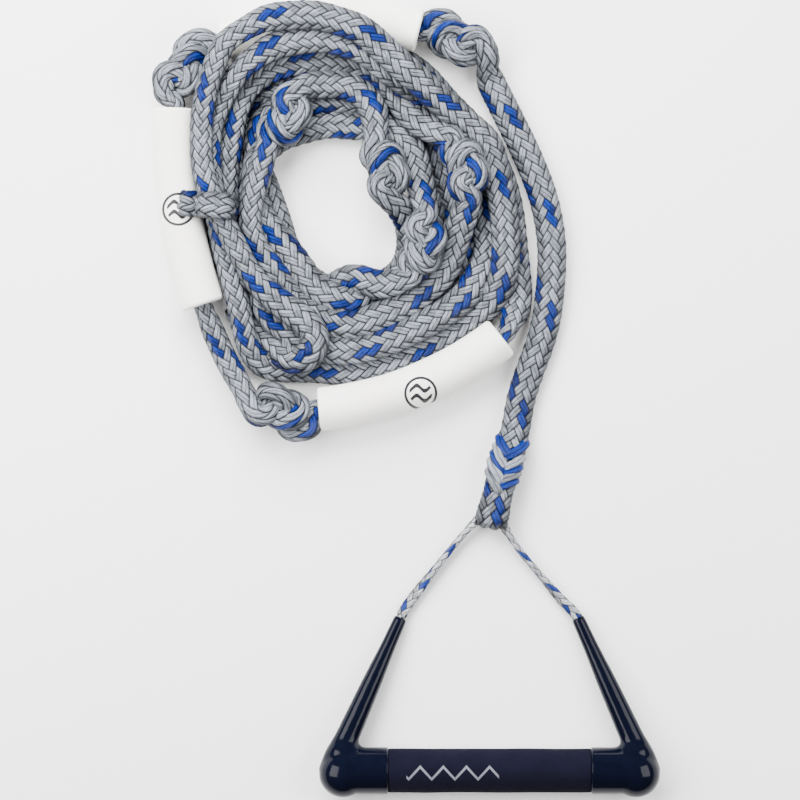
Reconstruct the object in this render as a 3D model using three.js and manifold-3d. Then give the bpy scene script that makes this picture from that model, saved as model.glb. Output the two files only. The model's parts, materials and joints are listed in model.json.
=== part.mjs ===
// A wakesurf tow rope with a T-bar handle, lying on a floor as it comes out of its pack: the handle in
// front, its two-leg bridle, the thick mainline, and the rest of the rope as an oval coil with three
// grab floats between overhand knots.
// Millimetres. +Z is up, +X runs along the grip, +Y from the handle to the coil.
// The origin lies on the floor under the middle of the handle.
import * as THREE from "three";
import { mergeVertices } from "three/addons/utils/BufferGeometryUtils.js";
import Module from "manifold-3d";

const wasm = await Module();
wasm.setup();

// ---- Driving dimensions ----
const CLEARANCE = 0.3; // between pieces that touch

const GRIP_LENGTH = 137;
const GRIP_RADIUS = 14.8;
const BAR_LENGTH = 190;
const BAR_RADIUS = 11;
const BAR_WALL = 1.6;
const PLUG_LENGTH = 16;

const SLEEVE_RADIUS = 15.7; // the end cap where it sits over the bar
const BALL_RADIUS = 16.2; // the end cap's round corner
const BALL_CENTRE = [98.7, -1.9]; // from the middle of the bar: along it, and towards the arm's tip
const ARM_LEAN = THREE.MathUtils.degToRad(24.2); // each arm leans in from square to the bar
const ARM_POINT = [96.7, 20.8]; // a point on the arm's axis
const ARM_RADII = [
  // along the arm's axis from ARM_POINT, and the radius there
  [-26, 9],
  [-14, 9.8],
  [-7, 9.2],
  [0, 8.4],
  [11.7, 7.7],
  [35.5, 6.8],
  [47.4, 6.3],
  [59.3, 5.5],
  [71.2, 4.9],
  [88, 4.4],
  [90, 4.1],
];
const CHANNEL_RADIUS = 3.2; // the bridle's way through the arm
const POCKET_RADIUS = 6.2; // where the stopper knot sits, inside the corner
const POCKET = [-24, -13]; // its two ends along the arm's axis
const WASHER_THICKNESS = 1.2;
const STOPPER_RADIUS = 5.2;
const STOPPER_SQUEEZE = 0.8; // along the arm's axis
const REST_FLAT = 0.5; // how much of the round corner the flat under it takes off
const EDGE_BEVEL = 0.8;

const BAR_HEIGHT = BALL_RADIUS - REST_FLAT;
const BAR_Y = -42.9;
const TIP_REACH = 104.5; // from the bar to the arms' tips, square to the bar
const TIP_HEIGHT = 4.5; // the arms' axis there, once the arms have come down until their tips touch
const DROOP = Math.asin((BAR_HEIGHT - TIP_HEIGHT) / TIP_REACH);

const BRIDLE_RADIUS = 2.9;
const BRIDLE_FLEX = 5; // bare stretch of the bridle in front of each tip, where it bends
const BRIDLE_HEIGHT = 4.4;
const BRIDLE_BOW = 1.2; // how far the middle of each leg bows outwards
const BRIDLE_AT_EYE = [4.5, -6, 2]; // where a leg goes into the eye, from the eye's middle at that height

const EYE = [2.3, 132.2]; // the mainline's eye round the bridle
const EYE_SIZE = [22, 27.5, 19];
const EYE_HEIGHT = EYE_SIZE[2] / 2 + 0.1;
const EYE_SWING_ROOM = 14.4; // radius that the bridle keeps clear of, so that it can swing about the eye
const SPLICE_LENGTH = 27; // where the mainline's end goes back into itself
const SPLICE_RADIUS = 8.6;
const ROPE_RADIUS = 7.5; // a flat 20 by 9 mm braid, as the round tube that it would fill
const ROPE_HEIGHT = 7.9;
const MAINLINE = [
  [12.9, 171.3],
  [17.8, 186.4],
  [21.1, 206.6],
  [27.2, 225.5],
  [34, 243.7],
  [38.7, 261.3],
  [41, 280],
  [42.4, 300],
  [41.5, 319],
  [36.8, 342.6],
  [29.2, 363.4],
  [20.7, 382.2],
  [10.8, 402],
  [0, 423.5],
  [-5, 433],
];

const FLOAT_RADIUS = 14.75;
const FLOAT_BORE = 6.3;
const FLOAT_TRAVEL = 5; // along the rope, each way
const FLOAT_ROOM = 0.8; // kept clear round that travel
const FLOAT_CORE_RADIUS = 5.8; // the rope drawn tight inside a float
// Each float follows an arc: its ends, and how far its middle bows out on the left of first-to-second.
const FLOATS = {
  top_float: { ends: [[-47.2, 455.1], [-178.2, 445.7]], bow: -10.5 },
  left_float: { ends: [[-211.9, 403], [-193, 270.6]], bow: -6 },
  bottom_float: { ends: [[-115.1, 200.4], [8, 249.1]], bow: -9.5 },
};
const FLOAT_HEIGHT = FLOAT_RADIUS + CLEARANCE;

// The knots: middle, the three sizes, and the turn about the vertical in degrees.
const KNOTS = {
  mainline_knot: { at: [-21.3, 449.5, 17], size: [33, 40, 33], turn: 10 },
  left_top_knot: { at: [-206, 428, 17], size: [36, 31, 33], turn: -25 },
  left_low_knot: { at: [-141.5, 199.2, 17], size: [32, 38, 33], turn: 5 },
  inner_top_knot: { at: [-137.5, 396.6, 23], size: [28, 24, 29], turn: 20 },
  inner_right_knot: { at: [-70.5, 361.5, 23], size: [25, 30, 29], turn: -15 },
  inner_low_knot: { at: [-45.5, 310.3, 23], size: [25, 29, 29], turn: 0 },
  middle_knot: { at: [-17, 362.9, 23], size: [25, 30, 29], turn: 15 },
};
// The boat-end loop lies on the coil's near side, and the hitch goes over its left side.
const BOAT_LOOP = { middle: [-111, 251.8, 31], reach: 11, radius: 8, squeeze: 0.8 };
const HITCH = { from: [-199, 337], to: [-170, 334], height: 36, drop: 8, radius: 8, squeeze: 0.8 };

const COIL_HEIGHT = 34;
const COIL_EDGE = 4;
const COIL_OUTLINE = [
  [-128, 466], [-92, 461], [-60, 443], [-27, 419], [4, 388], [22, 355], [27, 320], [27, 290],
  [20, 262], [-6, 250], [-44, 235], [-101, 221], [-150, 228], [-178, 246], [-190, 275],
  [-200, 320], [-206, 375], [-202, 409], [-184, 441], [-158, 461],
];
const COIL_HOLE = [
  [-107, 411], [-80, 405], [-68, 385], [-64, 350], [-60, 315], [-66, 287], [-97, 274],
  [-122, 284], [-140, 310], [-149, 345], [-148, 372], [-131, 398],
];
const LEFT_LEAD = [[-190.5, 261], [-181, 243], [-168, 226], [-157, 214.5]];
const LEAD_HEIGHT = 8.2;

// ---- Materials ----
const finish = (color, roughness, metalness = 0) =>
  new THREE.MeshStandardMaterial({ color, roughness, metalness });
const MOULDED = finish(0x0a1230, 0.25);
const GRIP_SUEDE = finish(0x211e34, 0.9);
const BAR_METAL = finish(0xb9bcc0, 0.35, 1);
const PLUG_FOAM = finish(0x3a3a3c, 0.8);
const WASHER_STEEL = finish(0xc4c6c8, 0.3, 1);
const ROPE = finish(0xa6a8ac, 0.7);
const FLOAT_FOAM = finish(0xeeedea, 0.6);

// ---- Solids ----
function toSolid(shape) {
  const bare = shape.clone();
  bare.deleteAttribute("normal");
  bare.deleteAttribute("uv");
  const merged = mergeVertices(bare, 1e-3);
  return new wasm.Manifold(
    new wasm.Mesh({
      numProp: 3,
      vertProperties: new Float32Array(merged.attributes.position.array),
      triVerts: new Uint32Array(merged.index.array),
    }),
  );
}

// The largest body that is left when the rooms for its neighbours are cut away.
function without(solid, rooms) {
  const left = rooms.reduce((rest, room) => rest.subtract(room), solid);
  return left.decompose().sort((a, b) => b.volume() - a.volume())[0];
}

function toGeometry(solid) {
  const mesh = solid.getMesh();
  const shape = new THREE.BufferGeometry();
  shape.setAttribute("position", new THREE.BufferAttribute(mesh.vertProperties, 3));
  shape.setIndex(new THREE.BufferAttribute(mesh.triVerts, 1));
  shape.computeVertexNormals();
  return shape;
}

// A turned solid whose axis is X. The profile gives places along the axis with their radii.
function turned(profile, sides) {
  const outline = [[profile[0][0], 0], ...profile, [profile.at(-1)[0], 0]];
  const points = outline.map(([along, radius]) => new THREE.Vector2(radius, along));
  return new THREE.LatheGeometry(points, sides).rotateZ(-Math.PI / 2);
}

function rod(start, end, radius, sides) {
  return turned([[start, radius], [end, radius]], sides);
}

// A round bar along a curve, from a section that has the given sides.
function tube(curve, radius, sides, steps, squeeze = 1) {
  const section = new THREE.Shape();
  for (let i = 0; i < sides; i += 1) {
    const angle = (2 * Math.PI * i) / sides;
    const corner = [radius * Math.cos(angle), radius * squeeze * Math.sin(angle)];
    if (i === 0) section.moveTo(...corner);
    else section.lineTo(...corner);
  }
  return new THREE.ExtrudeGeometry(section, { steps, extrudePath: curve, curveSegments: 1 });
}

function floorCurve(points, height) {
  return new THREE.CatmullRomCurve3(points.map(([x, y]) => new THREE.Vector3(x, y, height)));
}

function piece(name, shape, material) {
  const mesh = new THREE.Mesh(shape, material);
  mesh.name = name;
  return mesh;
}

const object = new THREE.Group();

// ---- Handle: the bar lies along X, the arms point to +Y, and the whole tips until they touch down ----
const handle = new THREE.Group();
handle.position.set(0, BAR_Y, BAR_HEIGHT);
handle.rotation.x = -DROOP;
object.add(handle);

const barOuter = toSolid(rod(-BAR_LENGTH / 2, BAR_LENGTH / 2, BAR_RADIUS, 24));
const barInner = toSolid(rod(-BAR_LENGTH, BAR_LENGTH, BAR_RADIUS - BAR_WALL, 24));
handle.add(piece("bar_tube", toGeometry(barOuter.subtract(barInner)), BAR_METAL));

const gripBody = toSolid(
  turned(
    [
      [-GRIP_LENGTH / 2, GRIP_RADIUS - EDGE_BEVEL],
      [-GRIP_LENGTH / 2 + EDGE_BEVEL, GRIP_RADIUS],
      [GRIP_LENGTH / 2 - EDGE_BEVEL, GRIP_RADIUS],
      [GRIP_LENGTH / 2, GRIP_RADIUS - EDGE_BEVEL],
    ],
    28,
  ),
);
const gripBore = toSolid(rod(-GRIP_LENGTH, GRIP_LENGTH, BAR_RADIUS + CLEARANCE, 24));
handle.add(piece("grip_sleeve", toGeometry(gripBody.subtract(gripBore)), GRIP_SUEDE));

// Places the turned solid that lies along X on the arm's axis, for the right arm (1) or the left (-1).
function onArm(shape, side) {
  const axis = new THREE.Matrix4().makeRotationZ(Math.PI / 2 + ARM_LEAN);
  const placed = shape.clone().applyMatrix4(axis).translate(ARM_POINT[0], ARM_POINT[1], 0);
  return side > 0 ? placed : placed.rotateY(Math.PI);
}

function armPlace(along, side) {
  return new THREE.Vector3(
    side * (ARM_POINT[0] - along * Math.sin(ARM_LEAN)),
    ARM_POINT[1] + along * Math.cos(ARM_LEAN),
    0,
  );
}

const ARM_END = ARM_RADII.at(-1)[0];

function endCap(side) {
  const flip = side > 0 ? 0 : Math.PI;
  const seat = GRIP_LENGTH / 2 + CLEARANCE;
  const sleeveProfile = [
    [seat, SLEEVE_RADIUS - EDGE_BEVEL],
    [seat + EDGE_BEVEL, SLEEVE_RADIUS],
    [BALL_CENTRE[0], SLEEVE_RADIUS],
  ];
  const sleeve = turned(sleeveProfile, 22);
  const ball = new THREE.SphereGeometry(BALL_RADIUS, 22, 14).rotateX(Math.PI / 2);
  ball.translate(BALL_CENTRE[0], BALL_CENTRE[1], 0);
  const bore = rod(0, BAR_LENGTH / 2 + 4, BAR_RADIUS + CLEARANCE, 24);
  const outside = toSolid(sleeve.rotateY(flip))
    .add(toSolid(ball.rotateY(flip)))
    .add(toSolid(onArm(turned(ARM_RADII, 18), side)));
  const hollow = toSolid(bore.rotateY(flip))
    .add(toSolid(onArm(rod(POCKET[0], POCKET[1], POCKET_RADIUS, 16), side)))
    .add(toSolid(onArm(rod(POCKET[0], ARM_END + 1, CHANNEL_RADIUS, 12), side)));
  // The flat that the corner rests on is level when the handle has tipped.
  const below = new THREE.BoxGeometry(5 * BALL_RADIUS, 5 * BALL_RADIUS, 2 * BALL_RADIUS);
  below.translate(side * BALL_CENTRE[0], 0, -2 * BALL_RADIUS + REST_FLAT);
  below.rotateX(DROOP);
  return toGeometry(outside.subtract(hollow).subtract(toSolid(below)));
}

const SIDES = { left: -1, right: 1 };
for (const [word, side] of Object.entries(SIDES)) {
  handle.add(piece(`${word}_end_cap`, endCap(side), MOULDED));

  const plugEnd = BAR_LENGTH / 2 - 1;
  const plug = rod(plugEnd - PLUG_LENGTH, plugEnd, BAR_RADIUS - BAR_WALL - CLEARANCE, 20);
  handle.add(piece(`${word}_bar_plug`, plug.rotateY(side > 0 ? 0 : Math.PI), PLUG_FOAM));

  const washerTop = POCKET[1] - CLEARANCE;
  const disc = toSolid(rod(washerTop - WASHER_THICKNESS, washerTop, POCKET_RADIUS - CLEARANCE, 16));
  const hole = toSolid(rod(washerTop - 5, washerTop + 5, BRIDLE_RADIUS + CLEARANCE, 12));
  handle.add(
    piece(`${word}_knot_washer`, onArm(toGeometry(disc.subtract(hole)), side), WASHER_STEEL),
  );

  const stopperHalf = STOPPER_RADIUS * STOPPER_SQUEEZE;
  const stopperMiddle = washerTop - WASHER_THICKNESS - CLEARANCE - stopperHalf;
  const stopper = new THREE.SphereGeometry(STOPPER_RADIUS, 14, 10).scale(STOPPER_SQUEEZE, 1, 1);
  handle.add(
    piece(`${word}_stopper_knot`, onArm(stopper.translate(stopperMiddle, 0, 0), side), ROPE),
  );

  const inArm = rod(stopperMiddle + stopperHalf + CLEARANCE, ARM_END, BRIDLE_RADIUS, 8);
  handle.add(piece(`${word}_bridle_end`, onArm(inArm, side), ROPE));
}

// ---- The mainline's eye, its splice and the bridle ----
handle.updateMatrixWorld(true);
const mainlineStart = new THREE.Vector2(...MAINLINE[0]);
const eyeMiddle = new THREE.Vector2(...EYE);
const ropeHeading = mainlineStart.clone().sub(eyeMiddle).angle();

function alongRope(shape, x, y, z) {
  return shape.rotateZ(ropeHeading).translate(x, y, z);
}

function eyeBall(room) {
  const [across, along, tall] = EYE_SIZE.map((size) => size + 2 * room);
  const shape = new THREE.SphereGeometry(0.5, 16, 10).scale(along, across, tall);
  return toSolid(alongRope(shape, EYE[0], EYE[1], EYE_HEIGHT));
}

const spliceEnd = mainlineStart.distanceTo(eyeMiddle) - 2 * CLEARANCE;
const spliceProfile = [
  [0, SPLICE_RADIUS * 0.9],
  [spliceEnd - SPLICE_LENGTH, SPLICE_RADIUS],
  [spliceEnd - 6, SPLICE_RADIUS],
  [spliceEnd, ROPE_RADIUS],
];
const spliceShape = alongRope(turned(spliceProfile, 14), EYE[0], EYE[1], SPLICE_RADIUS + CLEARANCE);
const splice = toSolid(spliceShape).subtract(eyeBall(CLEARANCE));
object.add(piece("bridle_eye", toGeometry(eyeBall(0)), ROPE));
object.add(piece("eye_splice", toGeometry(splice), ROPE));

const swingRoom = toSolid(
  new THREE.SphereGeometry(EYE_SWING_ROOM, 20, 12).translate(EYE[0], EYE[1], EYE_HEIGHT),
);
for (const [word, side] of Object.entries(SIDES)) {
  const start = handle.localToWorld(armPlace(ARM_END + BRIDLE_FLEX, side));
  const [aside, back, up] = BRIDLE_AT_EYE;
  const towardsEye = new THREE.Vector3(EYE[0] + side * aside, EYE[1] + back, BRIDLE_HEIGHT + up);
  start.z = Math.max(start.z, BRIDLE_RADIUS + CLEARANCE);
  const middle = start.clone().lerp(towardsEye, 0.5).add(new THREE.Vector3(side * BRIDLE_BOW, 0, 0));
  middle.z = BRIDLE_HEIGHT;
  const curve = new THREE.CatmullRomCurve3([start, middle, towardsEye]);
  const leg = without(toSolid(tube(curve, BRIDLE_RADIUS, 8, 6)), [swingRoom]);
  object.add(piece(`${word}_bridle_leg`, toGeometry(leg), ROPE));
}

// ---- Mainline ----
const mainlineCurve = floorCurve(MAINLINE, ROPE_HEIGHT);
const mainline = toSolid(tube(mainlineCurve, ROPE_RADIUS, 10, 16));

// ---- Knots ----
function ball(at, size, turn, extra = 0) {
  const shape = new THREE.SphereGeometry(0.5, 14, 10);
  shape.scale(size[0] + extra, size[1] + extra, size[2] + extra);
  return toSolid(shape.rotateZ(THREE.MathUtils.degToRad(turn)).translate(...at));
}

const knotSolids = {};
const knotRooms = [];
for (const [name, { at, size, turn }] of Object.entries(KNOTS)) {
  knotSolids[name] = ball(at, size, turn);
  knotRooms.push(ball(at, size, turn, 2 * CLEARANCE));
}

// ---- Floats: each an arc of foam tube, with the rope drawn through it ----
class FloorArc extends THREE.Curve {
  constructor(ends, bow, height) {
    super();
    const [a, b] = ends.map(([x, y]) => new THREE.Vector2(x, y));
    const chord = b.clone().sub(a);
    const half = chord.length() / 2;
    this.radius = (half * half + bow * bow) / (2 * Math.abs(bow));
    const left = new THREE.Vector2(-chord.y, chord.x).normalize();
    const middle = a.clone().add(b).multiplyScalar(0.5);
    this.centre = middle.addScaledVector(left, bow - Math.sign(bow) * this.radius);
    this.first = a.clone().sub(this.centre).angle();
    const sweep = b.clone().sub(this.centre).angle() - this.first;
    this.sweep = Math.atan2(Math.sin(sweep), Math.cos(sweep));
    this.height = height;
  }

  stretched(extra) {
    const longer = Object.assign(new FloorArc([[0, 0], [1, 0]], 1, this.height), this);
    const angle = (Math.sign(this.sweep) * extra) / this.radius;
    longer.first = this.first - angle;
    longer.sweep = this.sweep + 2 * angle;
    return longer;
  }

  getPoint(t) {
    const angle = this.first + this.sweep * t;
    return new THREE.Vector3(
      this.centre.x + this.radius * Math.cos(angle),
      this.centre.y + this.radius * Math.sin(angle),
      this.height,
    );
  }
}

const floatRooms = [];
const floatParts = [];
for (const [name, { ends, bow }] of Object.entries(FLOATS)) {
  const arc = new FloorArc(ends, bow, FLOAT_HEIGHT);
  const foam = toSolid(tube(arc, FLOAT_RADIUS, 20, 6));
  const bore = toSolid(tube(arc.stretched(2), FLOAT_BORE, 12, 6));
  const core = toSolid(tube(arc.stretched(FLOAT_TRAVEL), FLOAT_CORE_RADIUS, 10, 6));
  const roomArc = arc.stretched(FLOAT_TRAVEL + FLOAT_ROOM);
  floatRooms.push(toSolid(tube(roomArc, FLOAT_RADIUS + FLOAT_ROOM, 20, 6)));
  floatParts.push([name, foam.subtract(bore), FLOAT_FOAM]);
  floatParts.push([name.replace("float", "float_core"), core, ROPE]);
}

// ---- Boat-end loop, hitch and the rope that leads from the left float to its knot ----
function loopRing(extra) {
  const ring = new THREE.TorusGeometry(BOAT_LOOP.reach, BOAT_LOOP.radius + extra, 10, 18);
  return toSolid(ring.scale(1.15, 1, BOAT_LOOP.squeeze).translate(...BOAT_LOOP.middle));
}

const hitchEnds = [HITCH.from, HITCH.to].map(
  ([x, y]) => new THREE.Vector3(x, y, HITCH.height - HITCH.drop),
);
const hitchTop = hitchEnds[0].clone().lerp(hitchEnds[1], 0.5).add(new THREE.Vector3(0, 1, HITCH.drop));
const hitchCurve = new THREE.CatmullRomCurve3([hitchEnds[0], hitchTop, hitchEnds[1]]);
const hitch = toSolid(tube(hitchCurve, HITCH.radius, 10, 6, HITCH.squeeze));
const lead = toSolid(tube(floorCurve(LEFT_LEAD, LEAD_HEIGHT), ROPE_RADIUS, 10, 6));

// ---- Coil: its outer shape, with room for all that lies in it ----
function outline(points, samples) {
  const curve = new THREE.CatmullRomCurve3(
    points.map(([x, y]) => new THREE.Vector3(x, y, 0)),
    true,
  );
  return curve.getPoints(samples).slice(0, -1).map(({ x, y }) => new THREE.Vector2(x, y));
}

function slab(points, samples, depth, edge) {
  return new THREE.ExtrudeGeometry(new THREE.Shape(outline(points, samples)), {
    depth: depth - 2 * edge,
    bevelEnabled: edge > 0,
    bevelThickness: edge,
    bevelSize: edge,
    bevelOffset: -edge,
    bevelSegments: 2,
    curveSegments: 1,
  }).translate(0, 0, edge);
}

const coilBlock = toSolid(slab(COIL_OUTLINE, 44, COIL_HEIGHT, COIL_EDGE));
const coilHole = toSolid(slab(COIL_HOLE, 30, 2 * COIL_HEIGHT, 0).translate(0, 0, -COIL_HEIGHT / 2));

function grown(curve, radius, sides, steps, squeeze = 1) {
  return toSolid(tube(curve, radius + CLEARANCE * 1.5, sides, steps, squeeze));
}

const coilRooms = [
  ...knotRooms,
  ...floatRooms,
  grown(mainlineCurve, ROPE_RADIUS, 10, 16),
  grown(floorCurve(LEFT_LEAD, LEAD_HEIGHT), ROPE_RADIUS, 10, 6),
  grown(hitchCurve, HITCH.radius, 10, 6, HITCH.squeeze),
  loopRing(2 * CLEARANCE),
];
const coil = without(coilBlock.subtract(coilHole), coilRooms);

object.add(piece("mainline", toGeometry(without(mainline, knotRooms)), ROPE));
for (const [name, solid] of Object.entries(knotSolids)) {
  object.add(piece(name, toGeometry(without(solid, floatRooms)), ROPE));
}
for (const [name, solid, material] of floatParts) {
  object.add(piece(name, toGeometry(without(solid, knotRooms)), material));
}
object.add(piece("boat_loop", toGeometry(loopRing(0)), ROPE));
object.add(piece("hitch", toGeometry(without(hitch, floatRooms)), ROPE));
object.add(piece("left_lead", toGeometry(without(lead, [...knotRooms, ...floatRooms])), ROPE));
object.add(piece("coil", toGeometry(coil), ROPE));

export default object;
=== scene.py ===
# %% [markdown] # A wakesurf tow rope with a T-bar handle The object lies on the floor as it comes
# out of its pack: handle, bridle, mainline and an oval coil with knots and foam floats.

import json
import math

import bmesh
import bpy
import numpy as np
from mathutils import Matrix, Vector
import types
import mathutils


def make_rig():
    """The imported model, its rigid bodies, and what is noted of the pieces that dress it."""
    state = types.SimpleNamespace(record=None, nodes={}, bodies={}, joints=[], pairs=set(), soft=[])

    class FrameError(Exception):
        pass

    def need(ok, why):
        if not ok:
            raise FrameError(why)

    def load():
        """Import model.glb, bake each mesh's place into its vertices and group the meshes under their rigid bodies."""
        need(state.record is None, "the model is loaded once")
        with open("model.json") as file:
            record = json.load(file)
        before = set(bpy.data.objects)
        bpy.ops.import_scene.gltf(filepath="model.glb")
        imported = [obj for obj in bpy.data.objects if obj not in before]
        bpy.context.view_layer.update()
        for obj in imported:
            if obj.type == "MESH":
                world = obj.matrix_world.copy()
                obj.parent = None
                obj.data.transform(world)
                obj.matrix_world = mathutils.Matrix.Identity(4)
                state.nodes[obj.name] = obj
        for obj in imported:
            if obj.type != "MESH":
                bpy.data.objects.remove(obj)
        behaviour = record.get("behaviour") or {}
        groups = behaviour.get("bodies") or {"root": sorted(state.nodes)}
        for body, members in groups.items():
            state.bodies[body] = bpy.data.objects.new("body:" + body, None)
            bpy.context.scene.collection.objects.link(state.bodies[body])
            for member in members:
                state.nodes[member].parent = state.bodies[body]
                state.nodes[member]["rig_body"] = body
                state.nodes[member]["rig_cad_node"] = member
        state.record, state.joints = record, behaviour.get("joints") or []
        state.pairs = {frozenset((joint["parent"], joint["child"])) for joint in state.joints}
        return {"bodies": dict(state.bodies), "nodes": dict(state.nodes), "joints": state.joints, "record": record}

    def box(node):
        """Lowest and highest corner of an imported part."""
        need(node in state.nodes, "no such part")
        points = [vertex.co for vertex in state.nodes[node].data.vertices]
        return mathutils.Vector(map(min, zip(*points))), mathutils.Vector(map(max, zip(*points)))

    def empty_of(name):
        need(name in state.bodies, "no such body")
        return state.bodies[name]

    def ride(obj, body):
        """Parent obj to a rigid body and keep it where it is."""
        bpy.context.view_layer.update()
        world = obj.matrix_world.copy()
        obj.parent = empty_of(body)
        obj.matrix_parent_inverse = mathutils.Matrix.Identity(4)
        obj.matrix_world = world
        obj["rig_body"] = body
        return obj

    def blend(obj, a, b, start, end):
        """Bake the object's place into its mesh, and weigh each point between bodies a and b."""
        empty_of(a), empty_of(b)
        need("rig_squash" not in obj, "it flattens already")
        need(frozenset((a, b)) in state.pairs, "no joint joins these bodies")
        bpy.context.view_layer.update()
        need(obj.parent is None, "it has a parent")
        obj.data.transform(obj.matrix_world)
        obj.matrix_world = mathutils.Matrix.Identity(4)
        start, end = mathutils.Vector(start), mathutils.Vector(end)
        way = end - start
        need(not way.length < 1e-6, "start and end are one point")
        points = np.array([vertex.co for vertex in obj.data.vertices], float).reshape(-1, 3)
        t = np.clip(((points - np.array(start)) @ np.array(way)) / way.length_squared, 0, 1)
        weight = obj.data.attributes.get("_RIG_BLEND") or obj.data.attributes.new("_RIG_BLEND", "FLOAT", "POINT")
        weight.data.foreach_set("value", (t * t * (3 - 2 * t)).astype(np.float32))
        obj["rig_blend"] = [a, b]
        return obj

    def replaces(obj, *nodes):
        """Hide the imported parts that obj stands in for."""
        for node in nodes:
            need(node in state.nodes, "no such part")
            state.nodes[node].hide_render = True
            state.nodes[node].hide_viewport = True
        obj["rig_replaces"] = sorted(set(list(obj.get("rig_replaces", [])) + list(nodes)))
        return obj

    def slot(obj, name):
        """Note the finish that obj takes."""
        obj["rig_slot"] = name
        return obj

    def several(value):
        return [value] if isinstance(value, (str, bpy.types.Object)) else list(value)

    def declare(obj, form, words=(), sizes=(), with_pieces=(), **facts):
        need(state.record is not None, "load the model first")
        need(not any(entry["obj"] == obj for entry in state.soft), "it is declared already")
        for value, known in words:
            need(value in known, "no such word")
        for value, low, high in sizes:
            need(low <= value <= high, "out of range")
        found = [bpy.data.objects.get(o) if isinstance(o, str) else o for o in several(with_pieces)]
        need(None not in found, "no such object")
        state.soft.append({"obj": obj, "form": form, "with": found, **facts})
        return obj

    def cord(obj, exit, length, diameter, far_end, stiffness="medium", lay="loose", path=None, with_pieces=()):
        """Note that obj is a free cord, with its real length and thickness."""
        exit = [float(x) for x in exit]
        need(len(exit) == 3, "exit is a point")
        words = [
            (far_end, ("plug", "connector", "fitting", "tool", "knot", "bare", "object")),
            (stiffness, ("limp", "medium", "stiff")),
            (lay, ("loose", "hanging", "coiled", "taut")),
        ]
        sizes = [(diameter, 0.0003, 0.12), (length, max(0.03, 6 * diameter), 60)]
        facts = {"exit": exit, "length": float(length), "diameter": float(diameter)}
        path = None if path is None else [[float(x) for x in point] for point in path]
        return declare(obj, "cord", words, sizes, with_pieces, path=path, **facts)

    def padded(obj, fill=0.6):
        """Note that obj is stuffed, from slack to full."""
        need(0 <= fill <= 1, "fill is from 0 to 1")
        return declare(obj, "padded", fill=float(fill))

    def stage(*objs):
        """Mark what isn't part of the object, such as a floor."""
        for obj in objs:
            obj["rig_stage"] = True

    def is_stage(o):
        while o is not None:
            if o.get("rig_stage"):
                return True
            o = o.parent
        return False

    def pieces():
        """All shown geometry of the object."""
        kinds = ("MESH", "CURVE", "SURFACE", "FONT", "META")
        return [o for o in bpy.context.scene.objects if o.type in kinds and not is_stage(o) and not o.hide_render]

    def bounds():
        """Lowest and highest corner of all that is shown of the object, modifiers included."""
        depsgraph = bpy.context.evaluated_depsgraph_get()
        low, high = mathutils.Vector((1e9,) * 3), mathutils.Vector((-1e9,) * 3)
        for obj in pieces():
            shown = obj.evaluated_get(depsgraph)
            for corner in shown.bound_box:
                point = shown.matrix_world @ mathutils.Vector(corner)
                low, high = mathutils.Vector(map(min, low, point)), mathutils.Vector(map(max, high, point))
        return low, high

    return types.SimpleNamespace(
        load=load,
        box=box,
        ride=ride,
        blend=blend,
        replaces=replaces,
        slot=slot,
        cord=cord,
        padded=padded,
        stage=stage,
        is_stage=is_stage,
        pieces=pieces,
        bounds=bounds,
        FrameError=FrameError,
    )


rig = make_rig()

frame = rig.load()
cad_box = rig.bounds()
MM = 0.001
print("CAD box", [[round(c, 4) for c in corner] for corner in cad_box])

# %% [markdown]
# ## Camera
# The object is shown from straight above through a long lens, so that it hardly tapers. The view is a
# square a little larger than the object, and its middle lies between the handle and the coil.

# %% Camera
VIEW_SIZE = 538.8 * MM
VIEW_MIDDLE = (-60.3 * MM, 206.6 * MM)
VIEW_HEIGHT = 3.2
MIDDLE_HEIGHT = 15 * MM

camera_data = bpy.data.cameras.new("camera")
camera_data.angle = 2 * math.atan(VIEW_SIZE / 2 / (VIEW_HEIGHT - MIDDLE_HEIGHT))
camera = bpy.data.objects.new("camera", camera_data)
camera.location = (*VIEW_MIDDLE, VIEW_HEIGHT)
bpy.context.scene.collection.objects.link(camera)
bpy.context.scene.camera = camera
print("lens", round(camera_data.lens, 1), "mm")

# %% [markdown]
# ## The rope's route
# The rope is one length of flat hollow braid. From the eye it runs up the right side to the first knot,
# through the top float, a knot, the left float, a knot and the bottom float, and then round and round in
# the coil to the loop at the boat end. Its route could be drawn by hand all the way, but eight turns that
# lie on each other without touching are hard to draw. So the free turns start as rough ovals, and a small
# solver pushes them apart, lets them sink, and keeps their length, while knots and floats stay put.

# %% Where the solids are
def middle_of(node):
    low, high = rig.box(node)
    return np.array([(a + b) / 2 for a, b in zip(low, high)]) / MM


ROPE_WIDTH = 19.4
ROPE_THICKNESS = 9.2
TRACER_TURN = 0.0  # turns the braid about its own line, which moves the coloured plaits across its face
EYE = middle_of("bridle_eye")
MAINLINE = [
    (12.9, 171.3), (17.8, 186.4), (21.1, 206.6), (27.2, 225.5), (34, 243.7), (38.7, 261.3),
    (41, 280), (42.4, 300), (41.5, 319), (36.8, 342.6), (29.2, 363.4), (20.7, 382.2), (10.8, 402),
    (0, 423.5),
]
FLOAT_ENDS = {
    "top_float": ((-47.2, 455.1), (-178.2, 445.7), -10.5),
    "left_float": ((-211.9, 403), (-193, 270.6), -6),
    "bottom_float": ((-115.1, 200.4), (8, 249.1), -9.5),
}
COIL_OUTLINE = [
    (-131, 473), (-95, 471), (-60, 444), (-28, 413), (0, 384), (18, 353), (25, 320), (26, 290),
    (20, 262), (-6, 250), (-44, 235), (-101, 221), (-150, 228), (-178, 246), (-190, 275),
    (-200, 320), (-207, 375), (-204, 409), (-191, 444), (-164, 467),
]
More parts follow.
